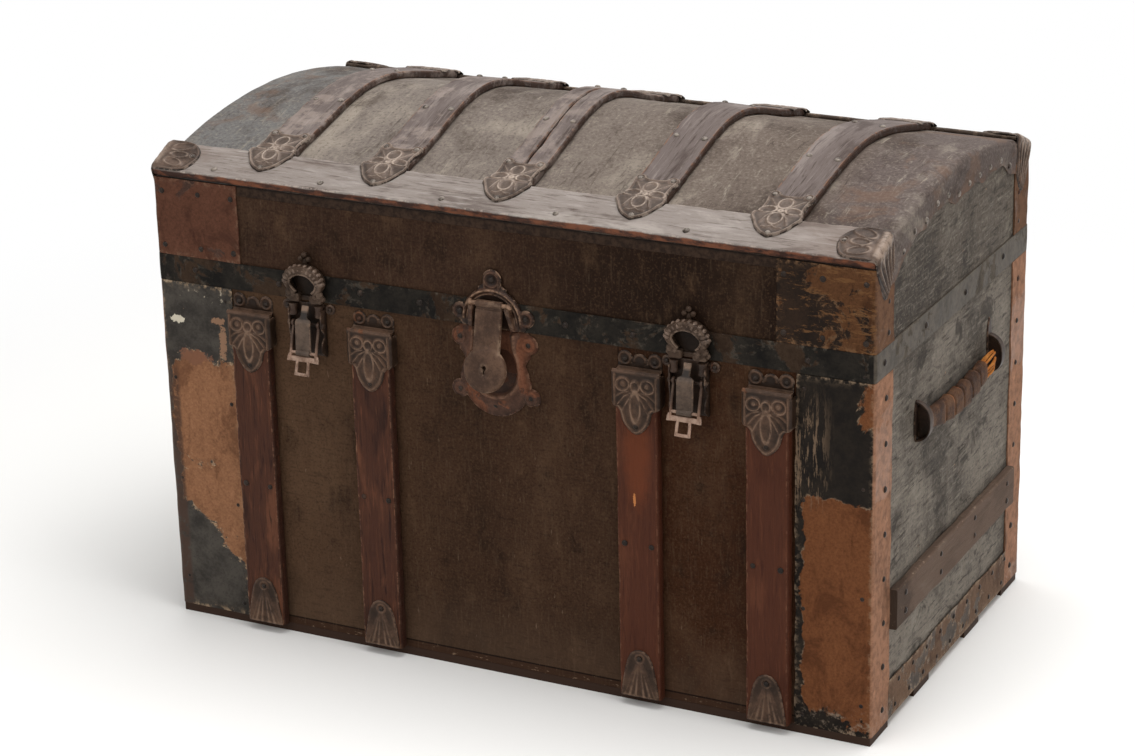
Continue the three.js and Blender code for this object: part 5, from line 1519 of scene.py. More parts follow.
# %% Rim band
def rim_band():
    """The band round the lid's lower edge, with a slight swell between its edges."""
    radius = 3 * MM
    flat_x, flat_y = RIGHT + 0.95 * MM - radius, HALF_DEPTH + 0.95 * MM - radius
    corner = []
    for sign_x, sign_y, start in ((1, -1, -90), (1, 1, 0), (-1, 1, 90), (-1, -1, 180)):
        for angle in (math.radians(start + 15 * step) for step in range(7)):
            corner.append((sign_x * flat_x + radius * math.cos(angle), sign_y * flat_y + radius * math.sin(angle)))
    line = []
    for here, after in zip(corner, corner[1:] + corner[:1]):
        count = max(1, int(math.dist(here, after) / (6 * MM)))
        line.extend([a + (b - a) * step / count for a, b in zip(here, after)] for step in range(count))
    line = np.array(line)
    path = straight(len(line), line[:, 0], MIDDLE + line[:, 1], RIM_MIDDLE)
    high, rise = RIM_TOP - LID_FOOT, np.linspace(-0.5, 0.5, 12)
    bulge = 1 - (2 * rise) ** 2
    outer = np.stack([rise * high, 0.7 * MM + 0.35 * MM * bulge], axis=1)
    section = np.concatenate([outer, [(0.5 * high, -0.62 * MM), (-0.5 * high, -0.62 * MM)]])
    sections = np.tile(section, (len(path), 1, 1))
    sections[:, 1:11, 0] += ripple(path, 80 * MM, 0.25 * MM, 12)[:, None] * 0.6
    sections[:, :12, 1] += ripple(path * 1.7, 50 * MM, 0.2 * MM, 14)[:, None] * bulge
    points, faces = swept(path, sections, (0, 0, 1), closed=True)
    uv = np.stack([np.repeat(np.linspace(0, 2.4, len(path)), len(section)), np.tile(section[:, 0], len(path))], axis=1)
    return {"points": points, "faces": faces, "uv": uv,
            "edge": np.tile([1, 0.35, *[0] * 8, 0.35, 1, 1, 1], len(path))}


RIM_MIDDLE = (LID_FOOT + RIM_TOP) / 2
Collector().add(**rim_band()).make("rim_band", RIM_IRON, "lid", "lid_rim_band", "black_iron")
for x in (-339, -242, -150, -84, 72, 142, 215, 317):
    nail("lid", (x * MM, FRONT - 1.8 * MM, RIM_MIDDLE + (2 - x % 5) * MM), (0, -1, 0), 3.3, 1.8)
    nail("lid", (x * MM, REAR + 1.8 * MM, RIM_MIDDLE + (x % 4 - 2) * MM), (0, 1, 0), 3.3, 1.8)
for end in (-1, 1):
    for y in (-188, -82, 26, 134):
        nail("lid", (end * (RIGHT + 1.8 * MM), MIDDLE + y * MM, RIM_MIDDLE + (y % 5 - 2) * MM), (end, 0, 0), 3.3, 1.8)
print("rim band at", round(RIM_MIDDLE, 4))

# %% [markdown]
# ## Foot bands and end slats
# Each end has a rusted iron band along its foot and a wooden slat over it. The band is a thin sheet between
# two grids of points, so its edge can wave; the slat is a plank like the others.

# %% End bands and end slats
def foot_band(y, end):
    """The band along the foot of one end, whose upper edge waves and stands off the wall."""
    share = np.linspace(0, 1, 14)
    top = BASE_FOOT + 40.6 * MM + ripple(straight(90, y, 0, end), 70 * MM, 1.6 * MM, 4)
    z = BASE_FOOT + 0.3 * MM + share * (np.minimum(top, BASE_FOOT + 41.6 * MM) - BASE_FOOT - 0.3 * MM)[:, None]
    y = y[:, None] + 0 * z
    lift = 0.4 * MM + 1.3 * MM * share ** 6 * (0.6 + 0.4 * np.sin(y * 55))
    lift = np.maximum(lift + ripple(np.stack([y, z, 0 * z], axis=-1), 40 * MM, 0.3 * MM, 9), 0.1 * MM)
    inner = np.stack([end * (RIGHT + 0.35 * MM + lift), y, z], axis=-1)
    points, faces = shell(inner + np.array([end * 0.9 * MM, 0, 0]), inner)
    return {"points": points, "faces": faces, "uv": np.tile(np.stack([y, z], axis=-1).reshape(-1, 2), (2, 1)),
            "edge": np.tile(np.exp(-np.minimum(1 - share, share) * 14 + 0 * y).ravel(), 2)}


for end, name in SIDES.items():
    y = np.linspace(FRONT + 42.3 * MM, REAR - 42.3 * MM, 90)
    band = Collector().add(**foot_band(y, end))
    band.make(f"foot_band_{name}", FOOT_SHEET, "base", f"end_foot_band_{name}", "rusted_iron")
    for spot in np.linspace(y[0] + 14 * MM, y[-1] - 14 * MM, 9):
        for height in (32, 9):
            place = (end * (RIGHT + 1.7 * MM), spot + height * 0.4 * MM, BASE_FOOT + height * MM)
            nail("base", place, (end, 0, 0), 2.6, 1.5)
    low, high = (corner.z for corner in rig.box(f"end_slat_{name}"))
    slat = plank(straight(90, end * (RIGHT + 0.3 * MM + 4.5 * MM), y, (low + high) / 2), high - low, 9 * MM, (0, 0, end),
                 2, 1.6, seed=50 + end, flats=7)
    Collector().add(**slat).make(f"end_slat_{name}_wood", END_WOOD, "base", f"end_slat_{name}", "worn_slat")
    for spot in np.linspace(y[0] + 22 * MM, y[-1] - 22 * MM, 4):
        for lift in (-9, 10):
            nail("base", (end * (RIGHT + 9.2 * MM), spot, (low + high) / 2 + lift * MM), (end, 0, 0), 3.0, 1.6)
print("end bands and slats", 4)

# %% [markdown]
# ## Lid corners
# Each corner of the lid has a plate round it and a stamped clamp. The clamp is a leaf on the long slat with
# a nail at its point, it rolls over the slat's end, and it runs down the end as a fluted lobe. It is one
# sheet: a leaf outline on the flat, then a bend, with flutes that begin at the bend.

# %% Lid corners
LOBE_SIDE = [(1.5, -30), (5, -36), (14, -40.5), (23, -42), (32, -40), (40, -33), (45.6, -22), (46, -8), (46, 6),
             (45.6, 16), (43.5, 26), (38, 36), (29, 44), (20, 49), (12, 50), (7, 45), (3, 34), (0.4, 20), (0, 6),
             (0, -12), (0.2, -22)]
LOBE_OUTLINE = smoothed(np.array(LOBE_SIDE) * (FACET_LENGTH / (46.2 * MM), 1), 3)


def lobe_lift(u, v, depth):
    """A rimmed leaf with three loops on the slat, and flutes that run down the end."""
    pattern = np.maximum.reduce([
        ridge(depth - 1.8, 0.9) * (v < -5), loop(u, v, (34, -19), (5.4, 12.5), 0.9, 18),
        loop(u, v, (22, -20), (4.2, 9.5), 0.9),
        loop(u, v, (11, -18), (5.0, 11.0), 0.9, -16), loop(u, v, (22.5, -36), (3.8, 3.6), 0.8)])
    fan = 1 - np.clip((v - 8) / 60, 0, 0.6)
    flutes = 0.5 + 0.5 * np.cos((u - 22) / fan * 2 * math.pi / 9.5)
    height = 1.0 + step_up(v, -7, -1.2) * (1.1 * pattern + 0.8 * np.clip(depth / 8, 0, 1))
    height = height + step_up(v, 5, 2.0) * 1.9 * flutes * np.clip(depth / 5, 0, 1)
    return height + 2.2 * ridge(v - 1, 8) * np.clip(depth / 6, 0, 1) + 0.5 * rounded(depth, 0.7)


def lobe_bend(sign_x, sign_y):
    """Lays the flat corner clamp over the slat's end, with u up the facet and v over the end."""
    outer, radius = RIGHT + 0.9 * MM, 3.2 * MM
    at = bent([(outer - 60 * MM, 0), (outer, 0), (outer, -80 * MM)], radius)
    down_y, down_z = 0.30, -0.954

    def bend(u, v, h):
        x, deep, nx, nz = at(60 * MM - 0.43 * radius + v)
        across, high = facet_spot(u, ON_LONG[sign_y])
        across = across - down_y * deep + OUT[0] * h * np.abs(nz)
        high = high - down_z * deep + OUT[1] * h * np.abs(nz)
        return np.stack([sign_x * (x + np.abs(nx) * h), MIDDLE - sign_y * across, high], axis=-1)

    return bend


for sign_x, sign_y in REACH:
    name = f"{WAYS[sign_y]}_{SIDES[sign_x]}"
    node = f"lid_corner_iron_{name}"
    sheet = corner_sheet(sign_x, sign_y, 95 * MM, RIM_TOP + 0.3 * MM, WALL_TOP - 0.3 * MM, 31 + sign_x + 3 * sign_y)
    Collector().add(**sheet).make(f"lid_plate_{name}", LID_LEFT if sign_x < 0 else LID_RIGHT, "lid", node, "rusted_iron")
    bend = lobe_bend(sign_x, sign_y)
    sheet = stamped(inside(LOBE_OUTLINE), (0, -43), (46.5, 51), 0.8, lobe_lift, bend)
    Collector().add(**sheet).make(f"corner_clamp_{name}", LEAF_IRON, "lid", node, "brown_iron")
    nail_on("lid", bend, 22.5, -36, 1.2, 2.6, 1.8)
    for spot in (8, 50, 88):
        for height in (RIM_TOP + 10 * MM, WALL_TOP - 14 * MM):
            place = (sign_x * (RIGHT - spot * MM), MIDDLE + sign_y * (HALF_DEPTH + 1.2 * MM), height)
            nail("lid", place, (0, sign_y, 0), 3.0, 1.6)
    for height in (RIM_TOP + 12 * MM, RIM_TOP + 42 * MM):
        place = (sign_x * (RIGHT + 1.4 * MM), MIDDLE + sign_y * (HALF_DEPTH - 30 * MM), height)
        nail("lid", place, (sign_x, 0, 0), 2.6, 1.5)
print("lid corners", len(REACH))

# %% [markdown]
# ## Draw bolts
# A draw bolt pulls the lid down. Its catch on the lid is a hooded pocket with a beaded brow and three small
# balls on top. Its base is a channel with two barrels and two nailed ears. A lever of pale cast iron swings
# out on a pin through the channel, and a sprung steel tongue on the lever hooks its tip under the catch's
# sill. Each of the four is a piece of its own, because three of them move on their own bodies.

# %% Draw bolt places
BOLTS = {side: sum(corner.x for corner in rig.box(f"draw_bolt_base_{side}")) / 2 for side in SIDES.values()}
BOLT_WALL = FRONT - 0.3 * MM
CATCH_WALL = FRONT - 2.1 * MM
PIN_OUT = 7.5 * MM
PIN_DROP = 22 * MM
LEVER_TILT = 0.27
TONGUE_PIN = 29 * MM
CROSSWAYS = (1.0, 0, 0)


def box_form(low, high, radius=0.6 * MM):
    """A block with rounded upright edges, for small iron parts."""
    low, high = np.array(low, float), np.array(high, float)
    size, middle = high - low, (low + high) / 2
    radius = min(radius, size[0] / 2.1, size[1] / 2.1)
    section = soft_section(size[0], size[1], radius)
    inset = min(radius, size[2] / 3)
    small = 1 - inset / size[:2].min()
    rings = [np.column_stack([middle[:2] + section * part, np.full(len(section), height)])
             for height, part in ((low[2], small), (low[2] + inset, 1), (high[2] - inset, 1), (high[2], small))]
    return np.concatenate(rings), tube_faces(4, len(section))


def rod(start, end, radius):
    """A round rod between two points, with softened ends."""
    start, end = np.array(start, float), np.array(end, float)
    length = np.linalg.norm(end - start)
    ahead, bevel = (end - start) / length, min(0.35 * radius, length / 4)
    across = np.cross(ahead, (0.3, 0.5, 0.8))
    sizes = np.array([1 - bevel / radius, 1, 1, 1 - bevel / radius])
    path = [start, start + ahead * bevel, end - ahead * bevel, end]
    return swept(path, radius * circle(16) * sizes[:, None, None], across / np.linalg.norm(across))


# %% [markdown]
# ## The catch
# The catch is a bent hood, a C that opens downwards. A section is swept along that C, and it gets deeper
# towards the brow, as the real hood does. Balls and rounded blocks add the lugs, the sill and the top.

# %% Hooded catch
CATCH_DEEP = 12.6 * MM
CATCH_MIDDLE = 19.5 * MM


def brow_line(x, count, low=-46, high=226):
    """Places and outward directions along the hood, a C that opens downwards and curls in at its feet."""
    angle = np.radians(np.linspace(low, high, count))
    wide = 18.6 * MM - 2.6 * MM * np.clip(-np.sin(angle) / 0.7, 0, 1)
    tall = np.where(np.sin(angle) > 0, 14.6, 15.5) * MM
    return (straight(count, x + wide * np.cos(angle), CATCH_WALL, LID_FOOT + CATCH_MIDDLE + tall * np.sin(angle)),
            straight(count, np.cos(angle), 0, np.sin(angle)))


def catch(x):
    """The hood, its inner lip, its back plate, sill, lugs and balls."""
    form = Collector()

    def at(side, out, up):
        return x + side * MM, CATCH_WALL - out * MM, LID_FOOT + up * MM

    places, outward = brow_line(x, 61)
    rise = np.clip(outward[:, 2] + 0.5, 0, 1)
    deep = CATCH_DEEP * (0.72 + 0.28 * rise)
    places[:, 1] -= deep / 2
    sections = np.array([soft_section(depth, (5.4 + 2.8 * part) * MM, 2.6 * MM, 4) for depth, part in zip(deep, rise)])
    front = np.clip(sections[..., 0] / deep[:, None] + 0.5, 0, 1).ravel()
    # The relief number darkens the hood towards the wall, painted shade, and lets its outer brow rub bright.
    form.add(*swept(places, sections, (0, -1, 0)), edge=0.5 * front ** 4, relief=0.25 + 0.4 * front)
    lip = places - outward * (3.0 + 1.0 * rise[:, None]) * MM
    lip[:, 1] = CATCH_WALL - deep + 1.3 * MM
    form.add(*swept(lip, 1.15 * MM * circle(8), (0, -1, 0)), edge=0.55, relief=0.85)
    outline = (brow_line(0.0, 60, 0, 360)[0][:, ::2] - (0, LID_FOOT)) / MM
    sheet = stamped(lambda u, v: np.minimum(inside(outline)(u, v), v - 0.2), (-20, 0), (20, 36), 1.0,
                    lambda u, v, depth: 1.0 + 0.3 * rounded(depth, 0.8), flat_bend(x, CATCH_WALL, LID_FOOT))
    # The back plate's relief number of 0 paints it in the darkest tone: painted shade inside the mouth.
    form.add(**{**sheet, "relief": 0.0})
    for side in (-1, 1):
        for spread, out, height, size in ((17.4, 6.6, 9.4, 3.9), (19.6, 4.6, 5.2, 3.0), (12.4, 7.4, 7.4, 2.6)):
            lug = ball(at(side * spread, out, height), (size * MM, 0.8 * size * MM, size * MM), 16, 8)
            form.add(*lug, edge=0.3, relief=0.7)
        low, high = sorted((side * 19.5, side * 5.6))
        form.add(*box_form(at(low, 8.2, 0.2), at(high, 0.4, 8.2), 1.4 * MM), edge=0.4, relief=0.6)
    form.add(*box_form(at(-6, 3.6, 1.4), at(6, 0.4, 6)))
    form.add(*ball(at(0, 2.0, 39.8), (2.4 * MM, 1.8 * MM, 4.4 * MM), 12, 8))
    for spread, height, size in ((-4.4, 43.6, 2.7), (4.4, 43.6, 2.7), (0, 48.0, 2.8)):
        form.add(*ball(at(spread, 2.6, height), (size * MM, 2.6 * MM, size * MM), 16, 10), edge=0.2)
    return form


# %% [markdown]
# ## Beads on the brow
# The brow of each catch carries a row of long beads, like the strands of a rope. They repeat along a curve,
# so Geometry Nodes set them out: a line of points on the hood becomes instances of one small ball, turned by
# two directions and stretched by three sizes that each point carries. The result is joined, given its
# finish, and kept as a plain mesh.

# %% Beads
def nodes_mesh(name, tree, source, values):
    """Runs a node tree on a mesh of points and keeps the result as a plain mesh."""
    carrier = bpy.data.objects.new(name + "_points", source)
    bpy.context.scene.collection.objects.link(carrier)
    modifier = carrier.modifiers.new("build", "NODES")
    modifier.node_group = tree
    for item in tree.interface.items_tree:
        if item.item_type == "SOCKET" and item.in_out == "INPUT" and item.name in values:
            modifier[item.identifier] = values[item.name]
    data = bpy.data.meshes.new_from_object(carrier.evaluated_get(bpy.context.evaluated_depsgraph_get()))
    data.name = name
    bpy.data.objects.remove(carrier)
    return data


def points_mesh(name, places, outward, sizes, along=None):
    """Bare points, each with the way that it faces, the way of its width, and its three sizes."""
    data = bpy.data.meshes.new(name)
    data.from_pydata([tuple(place) for place in places], [], [])
    along = np.cross(outward, (0.31, 0.22, 0.92)) if along is None else along
    for title, values in (("outward", outward), ("along", along), ("sizes", sizes)):
        layer = data.attributes.new(title, "FLOAT_VECTOR", "POINT")
        layer.data.foreach_set("vector", np.asarray(values, np.float32).ravel())
    return data


def heads_tree(name, material, segments, rings):
    """A node tree that puts a small domed head on each point, turned outwards, with a little variation."""
    tree = bpy.data.node_groups.new(name, "GeometryNodeTree")
    for title, way, kind in (("Geometry", "INPUT", "Geometry"), ("Size", "INPUT", "Float"),
                             ("Variation", "INPUT", "Float"), ("Seed", "INPUT", "Int"),
                             ("Geometry", "OUTPUT", "Geometry")):
        tree.interface.new_socket(title, in_out=way, socket_type="NodeSocket" + kind)

    def node(kind, inputs=None, **settings):
        made = tree.nodes.new(kind)
        for title, value in settings.items():
            setattr(made, title, value)
        for socket, value in (inputs or {}).items():
            if isinstance(value, bpy.types.NodeSocket):
                tree.links.new(value, made.inputs[socket])
            else:
                made.inputs[socket].default_value = value
        return made.outputs

    def carried(title):
        return node("GeometryNodeInputNamedAttribute", {"Name": title}, data_type="FLOAT_VECTOR")["Attribute"]

    given = node("NodeGroupInput")
    head = node("GeometryNodeMeshUVSphere", {"Segments": segments, "Rings": rings, "Radius": 1.0})["Mesh"]
    turn = node("FunctionNodeAxesToRotation", {"Primary Axis": carried("outward"), "Secondary Axis": carried("along")},
                primary_axis="Z", secondary_axis="X")[0]
    chance = node("FunctionNodeRandomValue", {"Seed": given["Seed"]}, data_type="FLOAT")[1]
    centred = node("ShaderNodeMath", {0: chance, 1: 0.5}, operation="SUBTRACT")[0]
    varied = node("ShaderNodeMath", {0: centred, 1: given["Variation"], 2: given["Size"]}, operation="MULTIPLY_ADD")[0]
    scale = node("ShaderNodeVectorMath", {0: carried("sizes"), "Scale": varied}, operation="SCALE")[0]
    placed = node("GeometryNodeInstanceOnPoints",
                  {"Points": given["Geometry"], "Instance": head, "Rotation": turn, "Scale": scale})[0]
    real = node("GeometryNodeRealizeInstances", {"Geometry": placed})[0]
    soft = node("GeometryNodeSetShadeSmooth", {"Geometry": real})[0]
    finished = node("GeometryNodeSetMaterial", {"Geometry": soft, "Material": material})[0]
    node("NodeGroupOutput", {"Geometry": finished})
    return tree


BEAD_TREE = heads_tree("bead_row", BEAD_IRON, 10, 7)
BEAD_COUNT = 12
for side, x in BOLTS.items():
    catch(x).make(f"catch_{side}", LATCH_IRON, "lid", f"draw_bolt_catch_{side}", "brown_iron")
    rows, outward = brow_line(x, BEAD_COUNT, 6, 174)
    rows = rows + outward * 1.5 * MM - np.array([0, CATCH_DEEP - 3.8 * MM, 0])
    source = points_mesh(f"bead_points_{side}", rows, outward * 0.74 - np.array([0, 0.67, 0]),
                         [(2.45 * MM, 5.0 * MM, 3.1 * MM)] * BEAD_COUNT, np.cross(outward, (0, 1, 0)))
    data = nodes_mesh(f"catch_beads_{side}", BEAD_TREE, source, {"Size": 1.0, "Variation": 0.15, "Seed": 3})
    add_numbers(data, edge=0.5, relief=0.8)
    add_piece(f"catch_beads_{side}", data, "lid", f"draw_bolt_catch_{side}", "brown_iron")
    print("catch", side, "at", round(x, 4), "with", BEAD_COUNT, "beads")

# %% [markdown]
# ## Base, lever and tongue
# The base is a stamped sheet with cheeks and barrels. The lever's bars are placed in the lever's own tilted
# directions, so that all of them lean alike, and the tongue is a strap swept along a bowed line.

# %% Bases, levers and tongues
def base_field(u, v):
    """The channel's back plate with its two ears."""
    return np.maximum.reduce([slab(u, v, (-18.8, -55.8), (18.8, -2), 2.4), disc(np.abs(u), v, (24, -6.5), 5.4),
                              slab(u, v, (-22, -9.5), (22, -3.4), 0.5)])


def base_lift(u, v, depth):
    """A flat plate with a ring on each ear."""
    return 1.3 + 1.0 * ridge(np.hypot(np.abs(u) - 24, v + 6.5) - 4.0, 0.9) + 0.4 * rounded(depth, 0.7)


def bolt_base(x):
    """The channel with its cheeks, ears and barrels."""
    form = Collector()
    form.add(**stamped(base_field, (-30, -56), (30, -1), 0.9, base_lift, flat_bend(x, BOLT_WALL, PARTING)))
    across = np.linspace(0, 1, 6)
    barrel = [(1.0, -2.0), (1.0, -3.2), (0.9, -4.4), (0.82, -8.6), (0.9, -10.8), (1.0, -12.0), (0.96, -13.8),
              (0.55, -14.4)]
    for side in (-1, 1):
        wall = []
        for height in np.linspace(-6.8, -55.6, 36):
            notch = 6.2 * ridge(height + 33, 5.2) if side > 0 else 2.2 * ridge(height + 38, 8)
            out = (10.2 * min(1.0, (height + 58) / 9) - notch) * MM
            wall.append([(x + side * 18.1 * MM, BOLT_WALL - share * out, PARTING + height * MM) for share in across])
        thick = np.array([0.7 * MM, 0, 0])
        share = np.tile(across ** 3, 36 * 2)
        form.add(*shell(np.array(wall) + thick, np.array(wall) - thick), edge=share, relief=0.2 + 0.5 * share)
        path = [(x + side * 14.5 * MM, BOLT_WALL - 6 * MM, PARTING + height * MM) for _, height in barrel]
        sections = [4.6 * MM * part * circle(18) for part, _ in barrel]
        form.add(*swept(path, sections, CROSSWAYS), edge=np.repeat([0.5, 0.4, 0.2, 0.05, 0.2, 0.4, 0.4, 0.3], 18))
        nail("base", (x + side * 24 * MM, BOLT_WALL - 1.2 * MM, PARTING - 6.5 * MM), (0, -1, 0), 2.5, 1.8)
    pin = np.array([x, BOLT_WALL - PIN_OUT, PARTING - PIN_DROP])
    form.add(*rod(pin - (20.4 * MM, 0, 0), pin + (20.4 * MM, 0, 0), 1.6 * MM))
    for side in (-1, 1):
        form.add(*ball(pin + (side * 19.4 * MM, 0, 0), (1.4 * MM, 2.7 * MM, 2.7 * MM), 14, 8), edge=0.4)
    return form


def bar(points, width, thick, across):
    """A flat bar with round edges through given points, with its sizes in millimetres."""
    return swept(points, soft_section(width * MM, thick * MM, min(width, thick) * MM * 0.32), across)


def lever(x):
    """The lever: two arms with eyes, a crossbar, the finger loop and the tongue's pin."""
    form = Collector()
    pivot = np.array([x, BOLT_WALL - PIN_OUT, PARTING - PIN_DROP])
    down = np.array([0, -math.sin(LEVER_TILT), -math.cos(LEVER_TILT)])
    out = np.array([0, -math.cos(LEVER_TILT), math.sin(LEVER_TILT)])

    def at(u, drop, lift=0.0):
        return pivot + np.array(CROSSWAYS) * u * MM + down * drop * MM + out * lift * MM

    def put(points, faces):
        form.add(points, faces, edge=0.35, relief=0.7)

    # The arms' upper ends and the eyes carry low relief numbers, which paint them dark: painted shade in the channel.
    for side in (-1, 1):
        arm = [at(side * 14.2, drop, lift) for drop, lift in ((2.2, 0), (10, 0.2), (20, 0.4), (29, 0.3), (36.5, 0))]
        limb = bar(arm, 2.6, 2.4, CROSSWAYS)
        form.add(*limb, edge=0.1, relief=np.repeat([0.12, 0.12, 0.2, 0.4, 0.7], len(limb[0]) // 5))
        eye = at(side * 14.2, 0) + 2.75 * MM * circle(20) @ np.array([down, out])
        form.add(*swept(eye, soft_section(2.6 * MM, 1.4 * MM, 0.4 * MM), CROSSWAYS, closed=True), relief=0.12)
        put(*bar([at(side * 15.4, 31), at(side * 16.4, 34), at(side * 16.6, 38)], 2.2, 2.2, CROSSWAYS))
        put(*bar([at(side * 6.0, 35.6), at(side * 6.4, 41), at(side * 6.6, 50.4)], 2.8, 2.1, CROSSWAYS))
    put(*bar([at(-16.8, 35.6), at(-8, 35.2), at(0, 35.4), at(8, 35.2), at(16.8, 35.6)], 5.0, 2.2, down))
    put(*bar([at(-7.8, 50.2), at(0, 50.5), at(7.8, 50.2)], 3.0, 2.1, down))
    put(*rod(at(-14.8, 29), at(14.8, 29), 1.5 * MM))
    return form


def tongue(x):
    """The sprung tongue: a bowed strap that rolls round its pin and ends in a narrow tip."""
    form = Collector()
    pin = np.array([-PIN_OUT - TONGUE_PIN * math.sin(LEVER_TILT), -PIN_DROP - TONGUE_PIN * math.cos(LEVER_TILT)])
    way = np.array([-7 * MM, -3.5 * MM]) - pin
    share = np.linspace(0, 1, 44)
    bow = (2.6 * np.sin(math.pi * share) + 1.7 * ridge(share - 0.62, 0.14)) * MM
    place = pin + way * share[:, None] + np.array([-way[1], way[0]]) / np.linalg.norm(way) * bow[:, None]
    widths = (3.9 + 4.6 * step_up(share, 0.72, -0.01)) * MM
    sections = np.array([soft_section(2 * half, 2.2 * MM, 0.9 * MM, 4) for half in widths])
    # This relief number paints the neck, where the tongue narrows, almost black, a painted shadow, and rubs the tip
    # bright.
    shine = np.interp(share, (0, 0.1, 0.66, 0.74, 0.84, 0.9, 1), (0.5, 0.62, 0.66, 0.08, 0.1, 0.9, 1))
    form.add(*swept(straight(44, x, BOLT_WALL + place[:, 0], PARTING + place[:, 1]), sections, CROSSWAYS),
             edge=((np.abs(sections[..., 0]) / widths[:, None]) ** 8).ravel(), relief=np.repeat(shine, sections.shape[1]))
    ring = 2.5 * MM * circle(18) + pin
    ring = straight(18, x, BOLT_WALL + ring[:, 0], PARTING + ring[:, 1])
    form.add(*swept(ring, soft_section(15.4 * MM, 1.3 * MM, 0.4 * MM), CROSSWAYS, closed=True))
    return form


for side, x in BOLTS.items():
    bolt_base(x).make(f"bolt_base_{side}", STRAP_IRON, "base", f"draw_bolt_base_{side}", "brown_iron")
    lever(x).make(f"bolt_lever_{side}", PALE_IRON, f"lever_{side}", f"draw_bolt_lever_{side}", "pale_iron")
    tongue(x).make(f"bolt_tongue_{side}", TONGUE_IRON, f"tongue_{side}", f"draw_bolt_tongue_{side}", "brown_iron")
    print("draw bolt", side, "done")

# %% [markdown]
# ## Lock
# The lock has three pieces. The plate on the lid is an arch with a raised rim, two ringed ears, a ringed
# lobe on top, and a pin bar with knobs held by two cheeks. The hasp hangs from that bar: a flat shank with
# a bright top edge, then a disc with the keyhole. The plate on the base is an hourglass with four nailed
# lobes, a deep U shaped rim round the disc, and a round bowl at its foot.

# %% Lock plates
LOCK_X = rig.box("lock_lid_plate")[0].x * 0.5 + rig.box("lock_lid_plate")[1].x * 0.5
LOCK_WALL = FRONT - 2.1 * MM
PLATE_WALL = FRONT - 0.3 * MM


def lid_plate_field(u, v):
    """The arch with its ears and lobe."""
    a = np.abs(u)
    flare = np.minimum(slab(u, v, (-15, 34), (15, 43), 1), np.hypot(a - 15.6, v - 46) - 5.6)
    return np.maximum.reduce([
        np.minimum(disc(u, v, (0, 8), 33), v - 0.2), slab(u, v, (-33, 0.2), (33, 12), 1), disc(a, v, (35, 13.5), 8.8),
        disc(a, v, (30, 5.6), 5.4), disc(u, v, (0, 48.6), 10), slab(u, v, (-9.6, 36), (9.6, 49), 1), flare])


def lid_plate_lift(u, v, depth):
    """A hollow arch with a tall rim, and rings round the nails."""
    a = np.abs(u)
    reach = np.hypot(a, v - 8)
    height = 1.3 + np.maximum.reduce([
        np.maximum(3.0 * ridge(reach - 30.4, 1.7), 2.3 * ridge(reach - 26.7, 1.3)) * step_up(v, 6, 1.2),
        1.6 * ridge(np.hypot(a - 35, v - 13.5) - 6.3, 1.2) * (reach > 30),
        1.9 * ridge(np.hypot(a, v - 48.6) - 7.2, 1.3) * (reach > 31),
        1.9 * ridge(a - 7.4, 1.3) * (v > 38) * (v < 48) * (reach > 31),
        2.2 * ridge(a - 23.5, 2.4) * step_up(v, 17, -1.5)])
    return height + 0.6 * rounded(depth, 1.0)


def base_plate_field(u, v):
    """The hourglass plate with four lobes and a bowl."""
    a = np.abs(u)
    body = np.minimum(slab(u, v, (-38, -70), (38, -0.5), 3), -disc(a, v, (47, -38), 15))
    whole = np.maximum.reduce([body, disc(a, v, (36.5, -12.5), 9.8), disc(a, v, (38.5, -66), 9.3),
                               disc(u, v, (0, -52.6), 37)])
    return np.minimum.reduce([whole, -disc(a, v, (42, -80.5), 7.2), -0.4 - v])


def base_plate_lift(u, v, depth):
    """A deep U shaped rim, open at the top, with ringed nails round it."""
    a = np.abs(u)
    reach = np.hypot(a, v + 42)
    straight_side = np.abs(a - 21.5 - 5.0 * step_up(v, -24, -3.5))
    rim = 3.6 * ridge(np.where(v < -38, np.abs(reach - 27.0), straight_side), 2.9) * np.clip((-v - 1) / 3, 0, 1)
    rings = sum(1.2 * ridge(np.hypot(a - x, v - y) - size, 1.0)
                for x, y, size in ((36.5, -12.5, 5.6), (38.0, -66, 5.2)))
    bottom = 1.3 * ridge(reach - 34.5, 2.6) * (v < -60)
    within = step_up(reach, 25.5, -0.8) * (v < -20)
    height = 1.2 + np.maximum.reduce([rim, rings, bottom]) + 1.1 * np.clip(depth / 7, 0, 1) * (1 - within) - 0.4 * within
    return height + 0.6 * rounded(depth, 1.0)


upper = Collector()
upper.add(**stamped(lid_plate_field, (-44, 0), (44, 59), 0.85, lid_plate_lift,
                    flat_bend(LOCK_X, LOCK_WALL, LID_FOOT, 3)))
HASP_PIN = np.array([LOCK_X, LOCK_WALL - 7 * MM, LID_FOOT + 26 * MM])
part = np.linspace(0, 1, 12)
for side in (-1, 1):
    path = straight(12, LOCK_X + side * (19.0 + 3.6 * part) * MM, LOCK_WALL - (7.4 - 4.4 * part) * MM,
                    LID_FOOT + (25 - 23.4 * part) * MM)
    sections = [soft_section(4.6 * MM, (8.6 - 3.4 * share) * MM, 1.2 * MM) for share in part]
    upper.add(*swept(path, sections, CROSSWAYS), edge=0.35, relief=0.6)
    upper.add(*ball(HASP_PIN + (side * 21.0 * MM, 0, 0), (2.7 * MM, 3.3 * MM, 3.3 * MM), 18, 10), edge=0.5, relief=0.9)
upper.add(*rod(HASP_PIN - (21 * MM, 0, 0), HASP_PIN + (21 * MM, 0, 0), 2.1 * MM), edge=0.3, relief=0.8)
upper.make("lock_plate_lid", LOCK_IRON, "lid", "lock_lid_plate", "brown_iron")
lower = stamped(base_plate_field, (-48.5, -90), (48.5, -0.4), 0.85, base_plate_lift,
                flat_bend(LOCK_X, PLATE_WALL, PARTING, 6))
